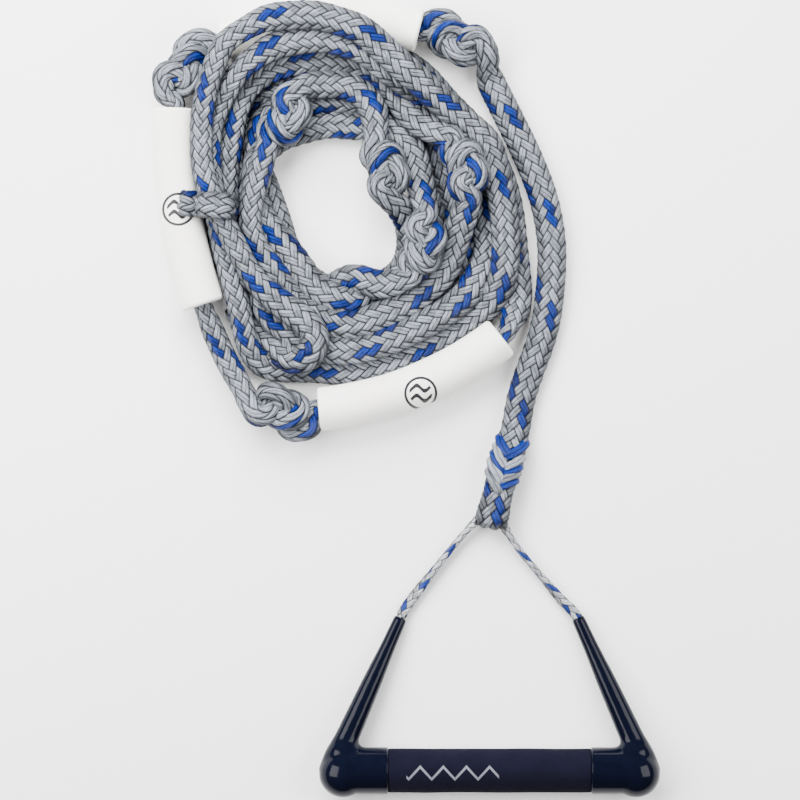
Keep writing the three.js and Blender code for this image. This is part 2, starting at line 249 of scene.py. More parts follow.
COIL_HOLE = [
    (-107, 411), (-80, 405), (-68, 385), (-64, 350), (-60, 315), (-66, 287), (-97, 274),
    (-122, 284), (-140, 310), (-149, 345), (-148, 372), (-131, 398),
]
COIL_MIDDLE = np.array([-102.0, 342.0])
print("eye at", EYE.round(1))


# %% Curves through points
def spline(points, step, closed=False):
    """Points every step along a smooth curve through the given ones (centripetal enough for our spacing)."""
    p = np.array(points, float)
    if closed:
        p = np.vstack([p[-1], p, p[0], p[1]])
    else:
        p = np.vstack([2 * p[0] - p[1], p, 2 * p[-1] - p[-2]])
    t = np.linspace(0, 1, 24, endpoint=False)[:, None]
    runs = []
    for a, b, c, d in zip(p, p[1:], p[2:], p[3:]):
        runs.append(
            0.5 * (2 * b + (c - a) * t + (2 * a - 5 * b + 4 * c - d) * t**2 + (3 * b - a - 3 * c + d) * t**3)
        )
    fine = np.vstack([*runs, p[-2][None]])
    return even(fine, step)


def even(fine, step):
    """The same line with points an even step apart."""
    gone = np.r_[0, np.cumsum(np.linalg.norm(np.diff(fine, axis=0), axis=1))]
    count = max(2, int(round(gone[-1] / step)) + 1)
    at = np.linspace(0, gone[-1], count)
    return np.column_stack([np.interp(at, gone, fine[:, k]) for k in range(fine.shape[1])])


def length_of(line):
    return float(np.linalg.norm(np.diff(line, axis=0), axis=1).sum())


class FloorArc:
    """A float's arc on the floor: its centre, radius and the angles of its ends."""

    def __init__(self, first, second, bow):
        a, b = np.array(first, float), np.array(second, float)
        chord = b - a
        half = np.linalg.norm(chord) / 2
        self.radius = (half**2 + bow**2) / (2 * abs(bow))
        left = np.array([-chord[1], chord[0]]) / (2 * half)
        self.centre = (a + b) / 2 + left * (bow - math.copysign(self.radius, bow))
        self.start = math.atan2(*(a - self.centre)[::-1])
        sweep = math.atan2(*(b - self.centre)[::-1]) - self.start
        self.sweep = math.atan2(math.sin(sweep), math.cos(sweep))

    def points(self, step, height, extra=0.0):
        turn = math.copysign(extra / self.radius, self.sweep)
        count = int((abs(self.sweep) * self.radius + 2 * extra) / step) + 1
        angle = np.linspace(self.start - turn, self.start + self.sweep + turn, count)
        x, y = self.centre[0] + self.radius * np.cos(angle), self.centre[1] + self.radius * np.sin(angle)
        return np.column_stack([x, y, np.full(count, height)])


arcs = {name: FloorArc(*ends) for name, ends in FLOAT_ENDS.items()}
print({name: round(arc.radius) for name, arc in arcs.items()})


# %% [markdown]
# A tight overhand knot is a trefoil with one of its three lobes cut open and the two ends led out to the
# sides. The trefoil has a short formula, so each knot is drawn from it and only needs a middle, a heading,
# a size and which way up it lies.

# %% Overhand knot
LOBE_CUT = 0.75  # radians left off on either side of the lobe that is cut open


def overhand(middle, heading, unit, over=1, side=1, tall=1.15):
    """Points of the knot from where the rope comes in to where it leaves, along heading (degrees)."""
    t = np.arange(-math.pi + LOBE_CUT, math.pi - LOBE_CUT + 0.01, 0.2)
    body = np.column_stack([np.sin(t) + 2 * np.sin(2 * t), np.cos(t) - 2 * np.cos(2 * t), -np.sin(3 * t)])
    lead = np.array([(5.0, -0.3, 0.0), (3.6, -1.35, 0.45), (2.3, -1.85, 0.85)])
    tail = lead[::-1] * (-1, 1, -1)
    local = np.vstack([lead, body, tail]) * (1, side, over * tall) * unit
    turn = math.radians(heading)
    ahead, across = np.array([-math.cos(turn), -math.sin(turn)]), np.array([math.sin(turn), -math.cos(turn)])
    flat = local[:, :1] * ahead + local[:, 1:2] * across
    line = np.column_stack([flat + middle[:2], local[:, 2] + middle[2]])
    return spline(line, 2.2)


sample = overhand((0, 0, 0), 0, 5)
print("a knot takes", round(length_of(sample)), "mm of rope")

# %% The whole route, before the turns settle
STEP = 8.0
TURN_STEP = 24  # points drawn per turn before the even spacing
hole_line = spline(COIL_HOLE, 2, closed=True)
outer_line = spline(COIL_OUTLINE, 2, closed=True)


def reach(line, angle):
    """How far the outline lies from the coil's middle in that direction."""
    around = np.arctan2(line[:, 1] - COIL_MIDDLE[1], line[:, 0] - COIL_MIDDLE[0])
    far = np.hypot(line[:, 0] - COIL_MIDDLE[0], line[:, 1] - COIL_MIDDLE[1])
    order = np.argsort(around)
    return np.interp(angle, around[order], far[order], period=2 * math.pi)


def turn_point(angle, share, height):
    """A place in the coil: share 0 is the strand along the hole, and 1 the outermost strand."""
    low, high = reach(hole_line, angle) + ROPE_WIDTH / 2, reach(outer_line, angle) - ROPE_WIDTH / 2
    far = low + (high - low) * share
    return (COIL_MIDDLE[0] + far * math.cos(angle), COIL_MIDDLE[1] + far * math.sin(angle), height)


# Each turn's place across the coil and its layer, and how it wanders: (share, layer, wander, phase).
TURNS = [
    (0.93, 0.1, 0.02, 0.6),
    (0.62, 0.0, 0.06, 2.1),
    (0.33, 0.0, 0.08, 4.4),
    (0.04, 0.1, 0.06, 0.4),
    (0.14, 1.1, 0.10, 3.3),
    (0.38, 1.2, 0.10, 5.2),
    (0.72, 1.4, 0.06, 1.2),
    (0.99, 1.5, 0.02, 2.6),
]
LAYER = 9.6
KNOTS_IN_COIL = [
    # node, turn, over, side
    ("inner_low_knot", 3, -1, 1),
    ("inner_top_knot", 4, 1, -1),
    ("inner_right_knot", 4, 1, 1),
    ("middle_knot", 5, 1, 1),
]
START_ANGLE = math.radians(-38)
END_ANGLE = 2 * math.pi * 7 + math.radians(176)
OVER_FLOATS = 31  # how high the last turn rides where it crosses the top and left floats
TOP_FLOAT_SPAN = (0.18, 0.28, 0.46, 0.54)  # the part of a turn that crosses the top float
SHOULDER_HEIGHT = 24  # how high the turn before it rides there
SHOULDER_SHARE = 0.68  # and its place across the coil
OUT_OVER_FLOATS = 0.03  # and how much further out it lies there
BOAT_END = [
    (-178, 318, 32), (-166, 293, 33), (-146, 275, 34), (-124, 263, 34), (-107, 254, 33), (-103, 245, 32),
    (-110, 237, 31), (-128, 240, 29), (-148, 249, 25), (-166, 262, 19), (-177, 280, 14),
]
print(len(TURNS), "turns")

# %% Build the route
class Route:
    """Points of the rope's middle line, with what holds each point and how full the braid is there."""

    def __init__(self):
        self.points, self.held, self.kind = [], [], []

    def add(self, line, held, kind):
        for point, hold in zip(line, np.broadcast_to(held, len(line))):
            self.points.append(np.array(point, float))
            self.held.append(bool(hold))
            self.kind.append(kind)

    def arrays(self):
        return np.array(self.points), np.array(self.held), np.array(self.kind)


FREE, FLOAT, KNOT = 0, 1, 2
route = Route()
LYING = ROPE_THICKNESS / 2 + 0.5
mainline_start = [(*point, LYING) for point in MAINLINE]
route.add(spline(mainline_start, STEP), True, FREE)


def add_knot(node, heading, unit, over=1, side=1, shift=(0, 0, 0)):
    route.add(overhand(middle_of(node) + shift, heading, unit, over, side), True, KNOT)


def add_float(name):
    arc = arcs[name]
    route.add(arc.points(STEP, middle_of(name)[2], extra=4), True, FLOAT)


add_knot("mainline_knot", 150, 4.4, over=1, side=-1)
add_float("top_float")
add_knot("left_top_knot", 235, 4.4, over=-1, side=-1, shift=(1, 3, 0))
add_float("left_float")
route.add(spline([(-189, 254, 11), (-178, 236, 7), (-163, 217, 9)], STEP), False, FREE)
add_knot("left_low_knot", 335, 4.7, over=1, side=-1)
add_float("bottom_float")

angles = np.arange(START_ANGLE, END_ANGLE, 2 * math.pi / TURN_STEP)
turn_points = []
for angle in angles:
    turn = (angle - START_ANGLE) / (2 * math.pi)
    first = min(int(turn), len(TURNS) - 1)
    second = min(first + 1, len(TURNS) - 1)
    blend = (turn - first) ** 2 * (3 - 2 * (turn - first)) if second > first else 0
    here = [a + (b - a) * blend for a, b in zip(TURNS[first][:3], TURNS[second][:3])]
    phase = TURNS[first][3] * (1 - blend) + TURNS[second][3] * blend
    share = here[0] + here[2] * math.sin(2 * angle + phase)
    if first == len(TURNS) - 1:
        share += OUT_OVER_FLOATS * min(max((turn - first - 0.25) / 0.12, 0), 1)
    height = LYING + LAYER * (here[1] + 0.2 * math.sin(angle + 2 * phase))
    if first == len(TURNS) - 1:
        climb = min(max((turn - first - 0.1) / 0.15, 0), 1)
        height += (OVER_FLOATS + LYING - height) * climb
    elif first == len(TURNS) - 2:
        climb = float(np.interp(turn - first, TOP_FLOAT_SPAN, (0, 1, 1, 0)))
        height += (SHOULDER_HEIGHT + LYING - height) * climb
        share += (SHOULDER_SHARE - share) * climb
    turn_points.append(turn_point(angle % (2 * math.pi), min(max(share, 0.0), 1.3), height))
turn_points = np.vstack([turn_points, BOAT_END])
print(len(turn_points), "points drawn for the coil")

# %% Tie the coil's knots into their turns
LED_IN = 48.0  # over what length a turn bends to meet its knot
turn_points = even(turn_points, STEP)
angles = np.unwrap(np.arctan2(*(turn_points[:, :2] - COIL_MIDDLE).T[::-1]))
angles += START_ANGLE - angles[0]
turns_gone = (angles - START_ANGLE) / (2 * math.pi)
part_turn = turns_gone % 1
on_float = (part_turn > TOP_FLOAT_SPAN[1]) & (part_turn < TOP_FLOAT_SPAN[2])
on_float &= turns_gone >= len(TURNS) - 2
coil_knots = []
for node, turn, over, side in KNOTS_IN_COIL:
    middle = middle_of(node)
    in_turn = (angles >= START_ANGLE + 2 * math.pi * turn) & (angles < START_ANGLE + 2 * math.pi * (turn + 1))
    apart = np.hypot(*(turn_points[:, :2] - middle[:2]).T) + 1e3 * ~in_turn
    nearest = int(apart.argmin())
    coil_knots.append((nearest, node, over, side))
    steps_away = (np.arange(len(turn_points)) - nearest) * STEP / LED_IN
    turn_points += np.exp(-(steps_away**2))[:, None] * (middle - turn_points[nearest])
coil_knots.sort()

KNOT_ROOM = 25.0  # how far from a knot's middle the free rope starts
done = 0
for nearest, node, over, side in [*coil_knots, (len(turn_points), None, 0, 0)]:
    if node is None:
        route.add(turn_points[done:], on_float[done:], FREE)
        break
    middle = middle_of(node)
    before, after = nearest, nearest
    while np.hypot(*(turn_points[before, :2] - middle[:2])) < KNOT_ROOM and before > done + 1:
        before -= 1
    while np.hypot(*(turn_points[after, :2] - middle[:2])) < KNOT_ROOM:
        after += 1
    route.add(turn_points[done : before + 1], on_float[done : before + 1], FREE)
    ahead = turn_points[after] - turn_points[before]
    add_knot(node, math.degrees(math.atan2(ahead[1], ahead[0])), 4.1, over, side)
    done = after
points, held, kind = route.arrays()
print("route drawn:", len(points), "points,", round(length_of(points) * MM, 2), "m")

# %% [markdown]
# The solver is position-based. Each round pulls neighbours back to their spacing, evens out sharp bends,
# lets free points sink, and pushes apart any two points of the rope that lie closer than its width.
# The braid is flat, so height counts nearly double in that distance. Floats count as thick round pieces.

# %% Let the turns settle
ROUNDS = 200
SINK = 0.35
FLAT_RATIO = 1.9
STRAND_APART = 17.6
FLOAT_APART = 24.6
FLOAT_RATIO = 1.22
KNOT_APART = 14.5
NEIGHBOURS = 5
HOLD_TO_DRAWING = 0.02


def settle(points, held, kind, rounds):
    """The settled points. Only every third point of a knot takes part, since knots don't move."""
    inside = np.r_[False, (kind[:-2] == KNOT) & (kind[2:] == KNOT), False]
    part = ~inside | (np.arange(len(points)) % 3 == 0)
    whole = points.copy()
    points, held, kind = points[part], held[part], kind[part]
    line, drawn = points.copy(), points.copy()
    free = ~held
    spacing = np.linalg.norm(np.diff(points, axis=0), axis=1)
    count = len(line)
    one, two = np.triu_indices(count, NEIGHBOURS)
    any_free = free[one] | free[two]
    one, two = one[any_free], two[any_free]
    with_float = (kind[one] == FLOAT) | (kind[two] == FLOAT)
    with_knot = ((kind[one] == KNOT) | (kind[two] == KNOT)) & ~with_float
    apart = np.where(with_float, FLOAT_APART, np.where(with_knot, KNOT_APART, STRAND_APART))
    ratio = np.where(with_float, FLOAT_RATIO, np.where(with_knot, 1.2, FLAT_RATIO))
    share_one, share_two = free[one] * 1.0, free[two] * 1.0
    total = share_one + share_two
    share_one, share_two = share_one / total, share_two / total
    for step in range(rounds):
        cooling = 1 - step / rounds
        line[free, 2] -= SINK * cooling
        line[free, :2] += HOLD_TO_DRAWING * (drawn[free, :2] - line[free, :2])
        smooth = (line[:-2] + line[2:]) / 2 - line[1:-1]
        line[1:-1][free[1:-1]] += 0.35 * smooth[free[1:-1]]
        for _ in range(2):
            near = np.abs(line[one] - line[two]).max(axis=1) < FLOAT_APART + 4
            i, j = one[near], two[near]
            gap = line[j] - line[i]
            gap[:, 2] *= ratio[near]
            far = np.linalg.norm(gap, axis=1) + 1e-9
            push = np.maximum(apart[near] - far, 0) / far
            move = gap * (0.5 * push)[:, None]
            move[:, 2] /= ratio[near]
            shove = np.zeros_like(line)
            hits = np.zeros(count)
            np.add.at(shove, i, -move * (2 * share_one[near])[:, None])
            np.add.at(shove, j, move * (2 * share_two[near])[:, None])
            np.add.at(hits, i, push > 0)
            np.add.at(hits, j, push > 0)
            line[free] += (shove / np.maximum(hits, 1)[:, None])[free] * 1.2
            step_vector = np.diff(line, axis=0)
            now = np.linalg.norm(step_vector, axis=1)
            pull = step_vector * ((now - spacing) / now * 0.5)[:, None]
            line[:-1][free[:-1]] += pull[free[:-1]] * 0.8
            line[1:][free[1:]] -= pull[free[1:]] * 0.8
            line[free, 2] = np.maximum(line[free, 2], LYING)
    gap = (line[two] - line[one]) * np.column_stack([np.ones_like(ratio), np.ones_like(ratio), ratio])
    closest = apart - np.linalg.norm(gap, axis=1)
    print("deepest overlap", round(float(closest.max()), 1), "mm; top at", round(float(line[:, 2].max()), 1))
    whole[part] = line
    return whole


settled = settle(points, held, kind, ROUNDS)
print("route settled:", round(length_of(settled) * MM, 2), "m")

# %% [markdown]
# ## The braid
# The mainline is a hollow braid of sixteen plaits, eight winding each way, each passing over two and under
# two. Seen flat, that makes the herringbone of long slanted pads. A bump map could fake it on a plain tube,
# but the outline would stay smooth, so the braid is real geometry. A grid is laid slantwise round the rope,
# so that its lines run along the plaits. Each cell is one crossing, and its surface swells where the upper
# plait passes and falls into a groove at the plait's edges.

# %% Rope line, frame and section
FINE = 1.5
PITCH = 69.0
PLAITS = 16
PLAIT_HEIGHT = 1.6
ROUNDED = 0.8  # 1 is an ellipse, and lower is a fuller section
LEVELLING = 0.15  # how fast the flat of the braid turns back to level


def blurred(values, reach):
    """Values along the rope, averaged over a few points each way."""
    window = np.hanning(2 * reach + 3)[1:-1]
    padded = np.pad(values, (reach, reach), mode="edge")
    return np.convolve(padded, window / window.sum(), mode="valid")


def fine_route(line, kind):
    """The settled route as a smooth line, with its kinds carried along."""
    tagged = spline(np.column_stack([line, kind]), FINE)
    line, kind = tagged[:, :3], tagged[:, 3]
    eased = np.column_stack([blurred(line[:, k], 9) for k in range(3)])
    share = blurred((kind < 0.3) * 1.0, 6)[:, None]
    return line + (eased - line) * share, kind


class Guide:
    """A line for a braid to follow: its section, its twist, how far it is drawn out, and its frame."""

    def __init__(self, line, half_width, half_thickness, twist=0.0, drawn_out=1.0):
        self.line, self.half_width, self.half_thickness = line, half_width, half_thickness
        self.twist = np.broadcast_to(twist, len(line)).astype(float)
        steps = np.linalg.norm(np.diff(line, axis=0), axis=1)
        self.gone = np.r_[0, np.cumsum(steps)]
        drawn_out = np.broadcast_to(drawn_out, len(line))
        self.slack = np.r_[0, np.cumsum(steps / drawn_out[1:])]  # length that the same rope has at rest
        ahead = np.gradient(line, axis=0)
        ahead = np.column_stack([blurred(ahead[:, k], 2) for k in range(3)])
        ahead /= np.linalg.norm(ahead, axis=1)[:, None]
        self.aside = np.zeros_like(line)
        now = np.cross((0, 0, 1.0), ahead[0])
        for k, heading in enumerate(ahead):
            level = np.cross((0, 0, 1.0), heading)
            now = now + LEVELLING * math.copysign(1, level @ now) * level
            now -= (now @ heading) * heading
            now /= np.linalg.norm(now)
            self.aside[k] = now
        self.up = np.cross(ahead, self.aside)

    def at(self, along, values):
        if values.ndim == 1:
            return np.interp(along, self.gone, values)
        return np.column_stack([np.interp(along, self.gone, values[:, k]) for k in range(values.shape[1])])

    def row_at(self, along, row_length):
        return float(np.interp(along, self.gone, self.slack)) / row_length

    def path(self, first, last, spacing=9.0):
        """Points of the stretch from first to last millimetres, in metres."""
        count = max(6, round((last - first) / spacing))
        return (self.at(np.linspace(first, last, count), self.line) * MM).tolist()


def section(angle, half_width, half_thickness):
    cos, sin = np.cos(angle), np.sin(angle)
    return (
        half_width * np.sign(cos) * np.abs(cos) ** ROUNDED,
        half_thickness * np.sign(sin) * np.abs(sin) ** ROUNDED,
    )


def even_around(ratio, count=720):
    """Angles that step evenly round an oval section, for a width that is ratio times the thickness."""
    angle = np.linspace(0, 2 * math.pi, count + 1)
    x, y = section(angle, ratio, 1.0)
    gone = np.r_[0, np.cumsum(np.hypot(np.diff(x), np.diff(y)))]
    return gone / gone[-1] * 2 * math.pi, angle


def hash_unit(a, b):
    """A repeatable number from 0 to 1 for each pair of whole numbers."""
    mixed = np.sin(a * 12.9898 + b * 78.233) * 43758.5453
    return mixed - np.floor(mixed)


# %% One stretch of braid
def braid(
    name, guide, first, last, plaits=PLAITS, pitch=PITCH, height=PLAIT_HEIGHT,
    tracers=((3, 4), ()), cells=5,
):
    """A mesh object of the rope from first to last millimetres along the guide.

    Each side of a crossing is cells mesh squares long.
    """
    around = plaits  # slanted grid lines that cross one ring round the rope
    row_length = pitch / around
    rope_end = math.floor(guide.slack[-1] / row_length) - 1
    first_row, last_row = (math.ceil(guide.row_at(along, row_length)) for along in (first, last))
    rows = np.arange(first_row, min(last_row, rope_end))
    row = np.repeat(rows, around // 2)
    column = np.tile(2 * np.arange(around // 2), len(rows)) + (row % 2)
    i, j = (row + column) // 2, (row - column) // 2
    step = np.arange(cells + 1)
    du, dv = (part.ravel() for part in np.meshgrid(step, step, indexing="ij"))
    u, v = du / cells, dv / cells
    crossing = column % 4
    first_over = (crossing < 2)[:, None]
    side = np.where(first_over, u, v)
    run = np.where(first_over, (v + (crossing == 0)[:, None]) / 2, (u + (crossing == 3)[:, None]) / 2)
    swell = (1 - np.abs(2 * side - 1) ** 4) * (1 - np.abs(2 * run - 1) ** 2.6) ** 0.8

    big_rows = (row * cells)[:, None] + du + dv
    big_columns = ((column * cells)[:, None] + du - dv) % (around * cells)
    key = big_rows.astype(np.int64) * (around * cells) + big_columns
    used, where = np.unique(key, return_inverse=True)
    where = where.reshape(key.shape)
    lift = np.zeros(len(used))
    np.maximum.at(lift, where.ravel(), swell.ravel())
    along = np.interp((used // (around * cells)) / cells * row_length, guide.slack, guide.gone)
    turn = (used % (around * cells)) / (around * cells) * 2 * math.pi + math.pi / around

    width, thick = guide.at(along, guide.half_width), guide.at(along, guide.half_thickness)
    usual = float(np.median(guide.half_width) / np.median(guide.half_thickness))
    stepped, angle = even_around(usual)
    oval = np.clip((width / thick - 1) / (usual - 1 + 1e-6), 0, 1)
    turn = turn + (np.interp(turn % (2 * math.pi), stepped, angle) - turn % (2 * math.pi)) * oval
    across, out = section(turn, width, thick)
    slope_across, slope_out = np.cos(turn) / width, np.sin(turn) / thick
    slope = np.hypot(slope_across, slope_out)
    across = across + (slope_across / slope) * height * (lift - 0.6)
    out = out + (slope_out / slope) * height * (lift - 0.6)
    spin = guide.at(along, guide.twist)
    across, out = across * np.cos(spin) - out * np.sin(spin), across * np.sin(spin) + out * np.cos(spin)
    place, aside, above = (guide.at(along, part) for part in (guide.line, guide.aside, guide.up))
    outwards = aside * across[:, None] + above * out[:, None]
    spots = (place + outwards) * MM

    square = np.arange(cells)
    a, b = (part.ravel() for part in np.meshgrid(square, square, indexing="ij"))
    near, far = a * (cells + 1) + b, (a + 1) * (cells + 1) + b
    corners = np.stack([near, far, far + 1, near + 1], axis=1)
    faces = where[:, corners].reshape(-1, 4)
    mesh = bpy.data.meshes.new(name)
    mesh.vertices.add(len(spots))
    mesh.vertices.foreach_set("co", spots.astype(np.float32).ravel())
    mesh.loops.add(faces.size)
    mesh.loops.foreach_set("vertex_index", faces.astype(np.int32).ravel())
    mesh.polygons.add(len(faces))
    mesh.polygons.foreach_set("loop_start", np.arange(0, faces.size, 4, dtype=np.int32))
    mesh.polygons.foreach_set("use_smooth", np.ones(len(faces), bool))

    along_plait = np.where(first_over, v + j[:, None], u + i[:, None])
    plait_map = np.stack([side, along_plait * np.ones_like(side)], axis=-1)[:, corners].reshape(-1, 2)
    bands = max(1, round(math.sqrt((last - first) / (2.6 * guide.half_width.max()))))
    rows_per_band = -(-len(rows) // bands)
    band, in_band = (row - rows[0]) // rows_per_band, (row - rows[0]) % rows_per_band
    sheet_x = (in_band[:, None] + 0.5 + u + v) / (rows_per_band + 3)
    sheet_y = (band[:, None] + (column[:, None] + 1.5 + u - v) / (around + 3)) / bands
    sheet_map = np.stack([sheet_x, sheet_y], axis=-1)[:, corners].reshape(-1, 2)
    for title, layout in (("plait", plait_map), ("OFBake", sheet_map)):
        layer = mesh.uv_layers.new(name=title)
        layer.data.foreach_set("uv", layout.astype(np.float32).ravel())
    mesh.uv_layers["plait"].active_render = True

    upper = np.where(crossing < 2, i % (around // 2), j % (around // 2))
    coloured = np.isin(upper, tracers[0]) * (crossing < 2) + np.isin(upper, tracers[1]) * (crossing > 1)
    pad = np.where(crossing < 2, hash_unit(i, (crossing == 0) + j), hash_unit((crossing == 3) + i, j + 57))
    for title, values in (("tracer", coloured), ("pad", pad)):
        data = mesh.attributes.new(title, "FLOAT", "FACE")
        data.data.foreach_set("value", np.repeat(values, cells * cells).astype(np.float32))
    # level is how far the surface faces up. The material uses it to paint shade on the strands' lower flanks, and uses
    # crest to paint shade in the grooves.
    level = outwards[:, 2] / np.linalg.norm(outwards, axis=1)
    for title, values in (("crest", lift), ("level", level)):
        data = mesh.attributes.new(title, "FLOAT", "POINT")
        data.data.foreach_set("value", values.astype(np.float32))
    mesh.update()
    mesh.validate()
    piece = bpy.data.objects.new(name, mesh)
    bpy.context.scene.collection.objects.link(piece)
    print(name, "takes", round(last - first), "mm of rope in", len(faces), "faces")
    return piece


# %% [markdown]
# ## The rope in its sections
# At the handle the mainline's end turns back under the bridle and disappears into the rope itself, which
# makes it fatter there. Inside the floats it is drawn tight and round. In a knot it is full and round too,
# because the flat braid can't fold sharply. On the left the strands are bunched, so they lie narrower.
# The one line is cut into sections only at knots, as the real rope could be.

# %% Section sizes along the route
EYE_LOOP = [
    # x, y, z, half width, half thickness
    (8.2, 158, 5.2, 7.2, 2.9), (6.4, 150, 3.9, 8.6, 2.9), (4.6, 140, 3.7, 9.8, 3.0),
    (2.4, 131, 3.9, 10.6, 3.0),
    (1.0, 124.4, 5.8, 11.0, 3.1), (0.6, 122.2, 9.4, 11.0, 3.1), (1.1, 124.6, 13.4, 11.2, 3.2),
    (2.6, 131, 14.9, 11.2, 3.4), (4.6, 139.5, 13.9, 10.2, 4.1), (6.8, 148, 11.2, 10.2, 5.7),
    (9.4, 157.5, 9.2, 11.2, 7.4), (11.6, 166, 8.4, 11.6, 7.2), (14.6, 176, 6.4, 10.6, 5.6),
    (17.6, 185.6, 5.2, 9.7, 4.7),
]
KNOT_HALF = (7.7, 6.3)
KNOT_DRAWN_OUT = 0.6
FLOAT_HALF = (6.0, 5.6)
BUNCHED_HALF = (7.6, 5.3)
BUNCHED_FROM, BUNCHED_TO = -140, -165  # x

rope_line, rope_kind = fine_route(settled, kind)
in_float = blurred((np.abs(rope_kind - FLOAT) < 0.5) * 1.0, 6)
in_knot = blurred((rope_kind > 1.5) * 1.0, 8)
bunched = np.clip((rope_line[:, 0] - BUNCHED_FROM) / (BUNCHED_TO - BUNCHED_FROM), 0, 1)
bunched = blurred(bunched**2 * (3 - 2 * bunched), 8)
halves = np.tile([ROPE_WIDTH / 2, ROPE_THICKNESS / 2], (len(rope_line), 1))
for share, sizes in ((bunched, BUNCHED_HALF), (in_float, FLOAT_HALF), (in_knot, KNOT_HALF)):
    halves += (np.array(sizes) - halves) * share[:, None]

eye = spline(EYE_LOOP, FINE)
joined_at = int(np.linalg.norm(rope_line[:60] - eye[-1, :3], axis=1).argmin()) + 1
whole = np.vstack([eye, np.column_stack([rope_line, halves])[joined_at:]])
whole = np.column_stack([blurred(whole[:, k], 3) for k in range(5)])
far_along = np.arange(len(whole)) * FINE
sway = 0.10 * np.sin(far_along / 61) + 0.08 * np.sin(far_along / 27 + 2)
drawn_out = np.r_[np.ones(len(eye)), 1 + KNOT_DRAWN_OUT * in_knot[joined_at:]]
for _ in range(2):
    rope = Guide(whole[:, :3], whole[:, 3], whole[:, 4], TRACER_TURN + sway, drawn_out)
    hangs = np.hypot(rope.half_width * rope.aside[:, 2], rope.half_thickness * rope.up[:, 2])
    whole[:, 2] = np.maximum(whole[:, 2], 1.04 * hangs + 0.5 * PLAIT_HEIGHT)  # keeps the rope off the floor
eye_end = float(rope.gone[len(eye) - 8])
in_knot_now = np.r_[np.zeros(len(eye)), rope_kind[joined_at:]] > 1.5
knot_spans = rope.gone[1:][np.diff(in_knot_now.astype(int)) != 0].reshape(-1, 2)
print("knots at", [[round(end) for end in span] for span in knot_spans], "of", round(rope.gone[-1]), "mm")

# %% The sections as cords
CUT_AFTER_KNOT = 16.0
ends = [eye_end, *(span[1] + CUT_AFTER_KNOT for span in knot_spans), float(rope.gone[-1])]
SECTIONS = [
    # name, first and last place in ends, lay, the solids it stands for
    ("mainline_rope", 0, 1, "loose", ["mainline", "mainline_knot"]),
    ("top_float_rope", 1, 2, "loose", ["top_float_core", "left_top_knot"]),
    ("left_float_rope", 2, 3, "loose", ["left_float_core", "left_lead", "left_low_knot"]),
    ("coil_rope_outer", 3, 4, "coiled", ["bottom_float_core", "coil", "inner_low_knot"]),
    ("coil_rope_middle", 4, 6, "coiled", ["inner_top_knot", "inner_right_knot"]),
    ("coil_rope_upper", 6, 7, "coiled", ["middle_knot"]),
    ("coil_rope_end", 7, 8, "coiled", ["boat_loop"]),
]
cords = {}
for name, one, two, lay, nodes in SECTIONS:
    first, last = ends[one], ends[two]
    stretch = braid(name, rope, first, last)
    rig.ride(stretch, "root")
    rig.replaces(stretch, *nodes)
    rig.slot(stretch, "rope_braid")
    path = rope.path(first, last)
    far_end = "object" if name == "coil_rope_end" else "knot"
    cords[name] = stretch, path, (last - first) * MM, far_end, lay
print("total", round(sum(cord[2] for cord in cords.values()), 2), "m")

# %% [markdown]
# ## Eye, hitch and bridle
# The eye is the same braid as the mainline, so it comes from the same line and meets the mainline row for
# row. The hitch is a short strand over the coil's left side. Its height comes from what lies under it, so
# that it rests on the strands. The bridle is a thinner braid of eight plaits. It is one cord that runs from
# one arm through the eye to the other, lies flat at the arms and turns on edge towards the eye. Behind the
# eye, the splice's tucks lie over the rope, and they belong to the same rope.

# %% Eye of the mainline
eye_piece = braid("bridle_eye_rope", rope, 0, eye_end)
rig.ride(eye_piece, "root")
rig.replaces(eye_piece, "bridle_eye", "eye_splice")
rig.slot(eye_piece, "rope_braid")

# %% The splice's tucks
# Behind the eye the rope's end is tucked through the braid, strand by strand. Each tuck comes over the
# rope's edge and dives in at the middle, so the pairs look like a row of Vs.
TUCKS = [
    # y at the rope's edge, y where it dives in, side (1 is left), half width, lift, 1 for blue
    (181.5, 168.0, 1, 3.3, 0.0, 1), (183.0, 167.5, -1, 3.3, 0.0, 1),
    (170.5, 158.0, 1, 3.1, 0.3, 1), (166.0, 157.0, -1, 2.9, 0.3, 1),
    (176.0, 160.5, 1, 3.0, 0.6, 0), (173.0, 160.0, -1, 2.7, 0.6, 0),
    (157.0, 146.5, -1, 3.2, 0.4, 1), (159.0, 143.5, 1, 3.5, 0.4, 0),
    (166.0, 150.0, 1, 3.4, 1.0, 0), (162.0, 151.0, -1, 2.7, 0.9, 0),
]
TUCK_HALF_THICKNESS = 1.1
TUCK_SIDES = 14
TUCK_RUN = (0.0, 0.3, 0.62, 0.88, 1.0, 1.16)  # shares of the way from the edge to where it dives in
TUCK_ACROSS = (0.94, 0.82, 0.5, 0.14, 0.0, -0.16)  # shares of the rope's half width
TUCK_SUNK = (3.0, 0.2, 0.0, 0.0, 0.6, 3.4)  # mm below its lift
fold = int(rope.line[: len(eye), 1].argmin())
spots, faces, marks = [], [], {title: [] for title in ("pad", "tracer", "crest", "level", "plait", "OFBake")}
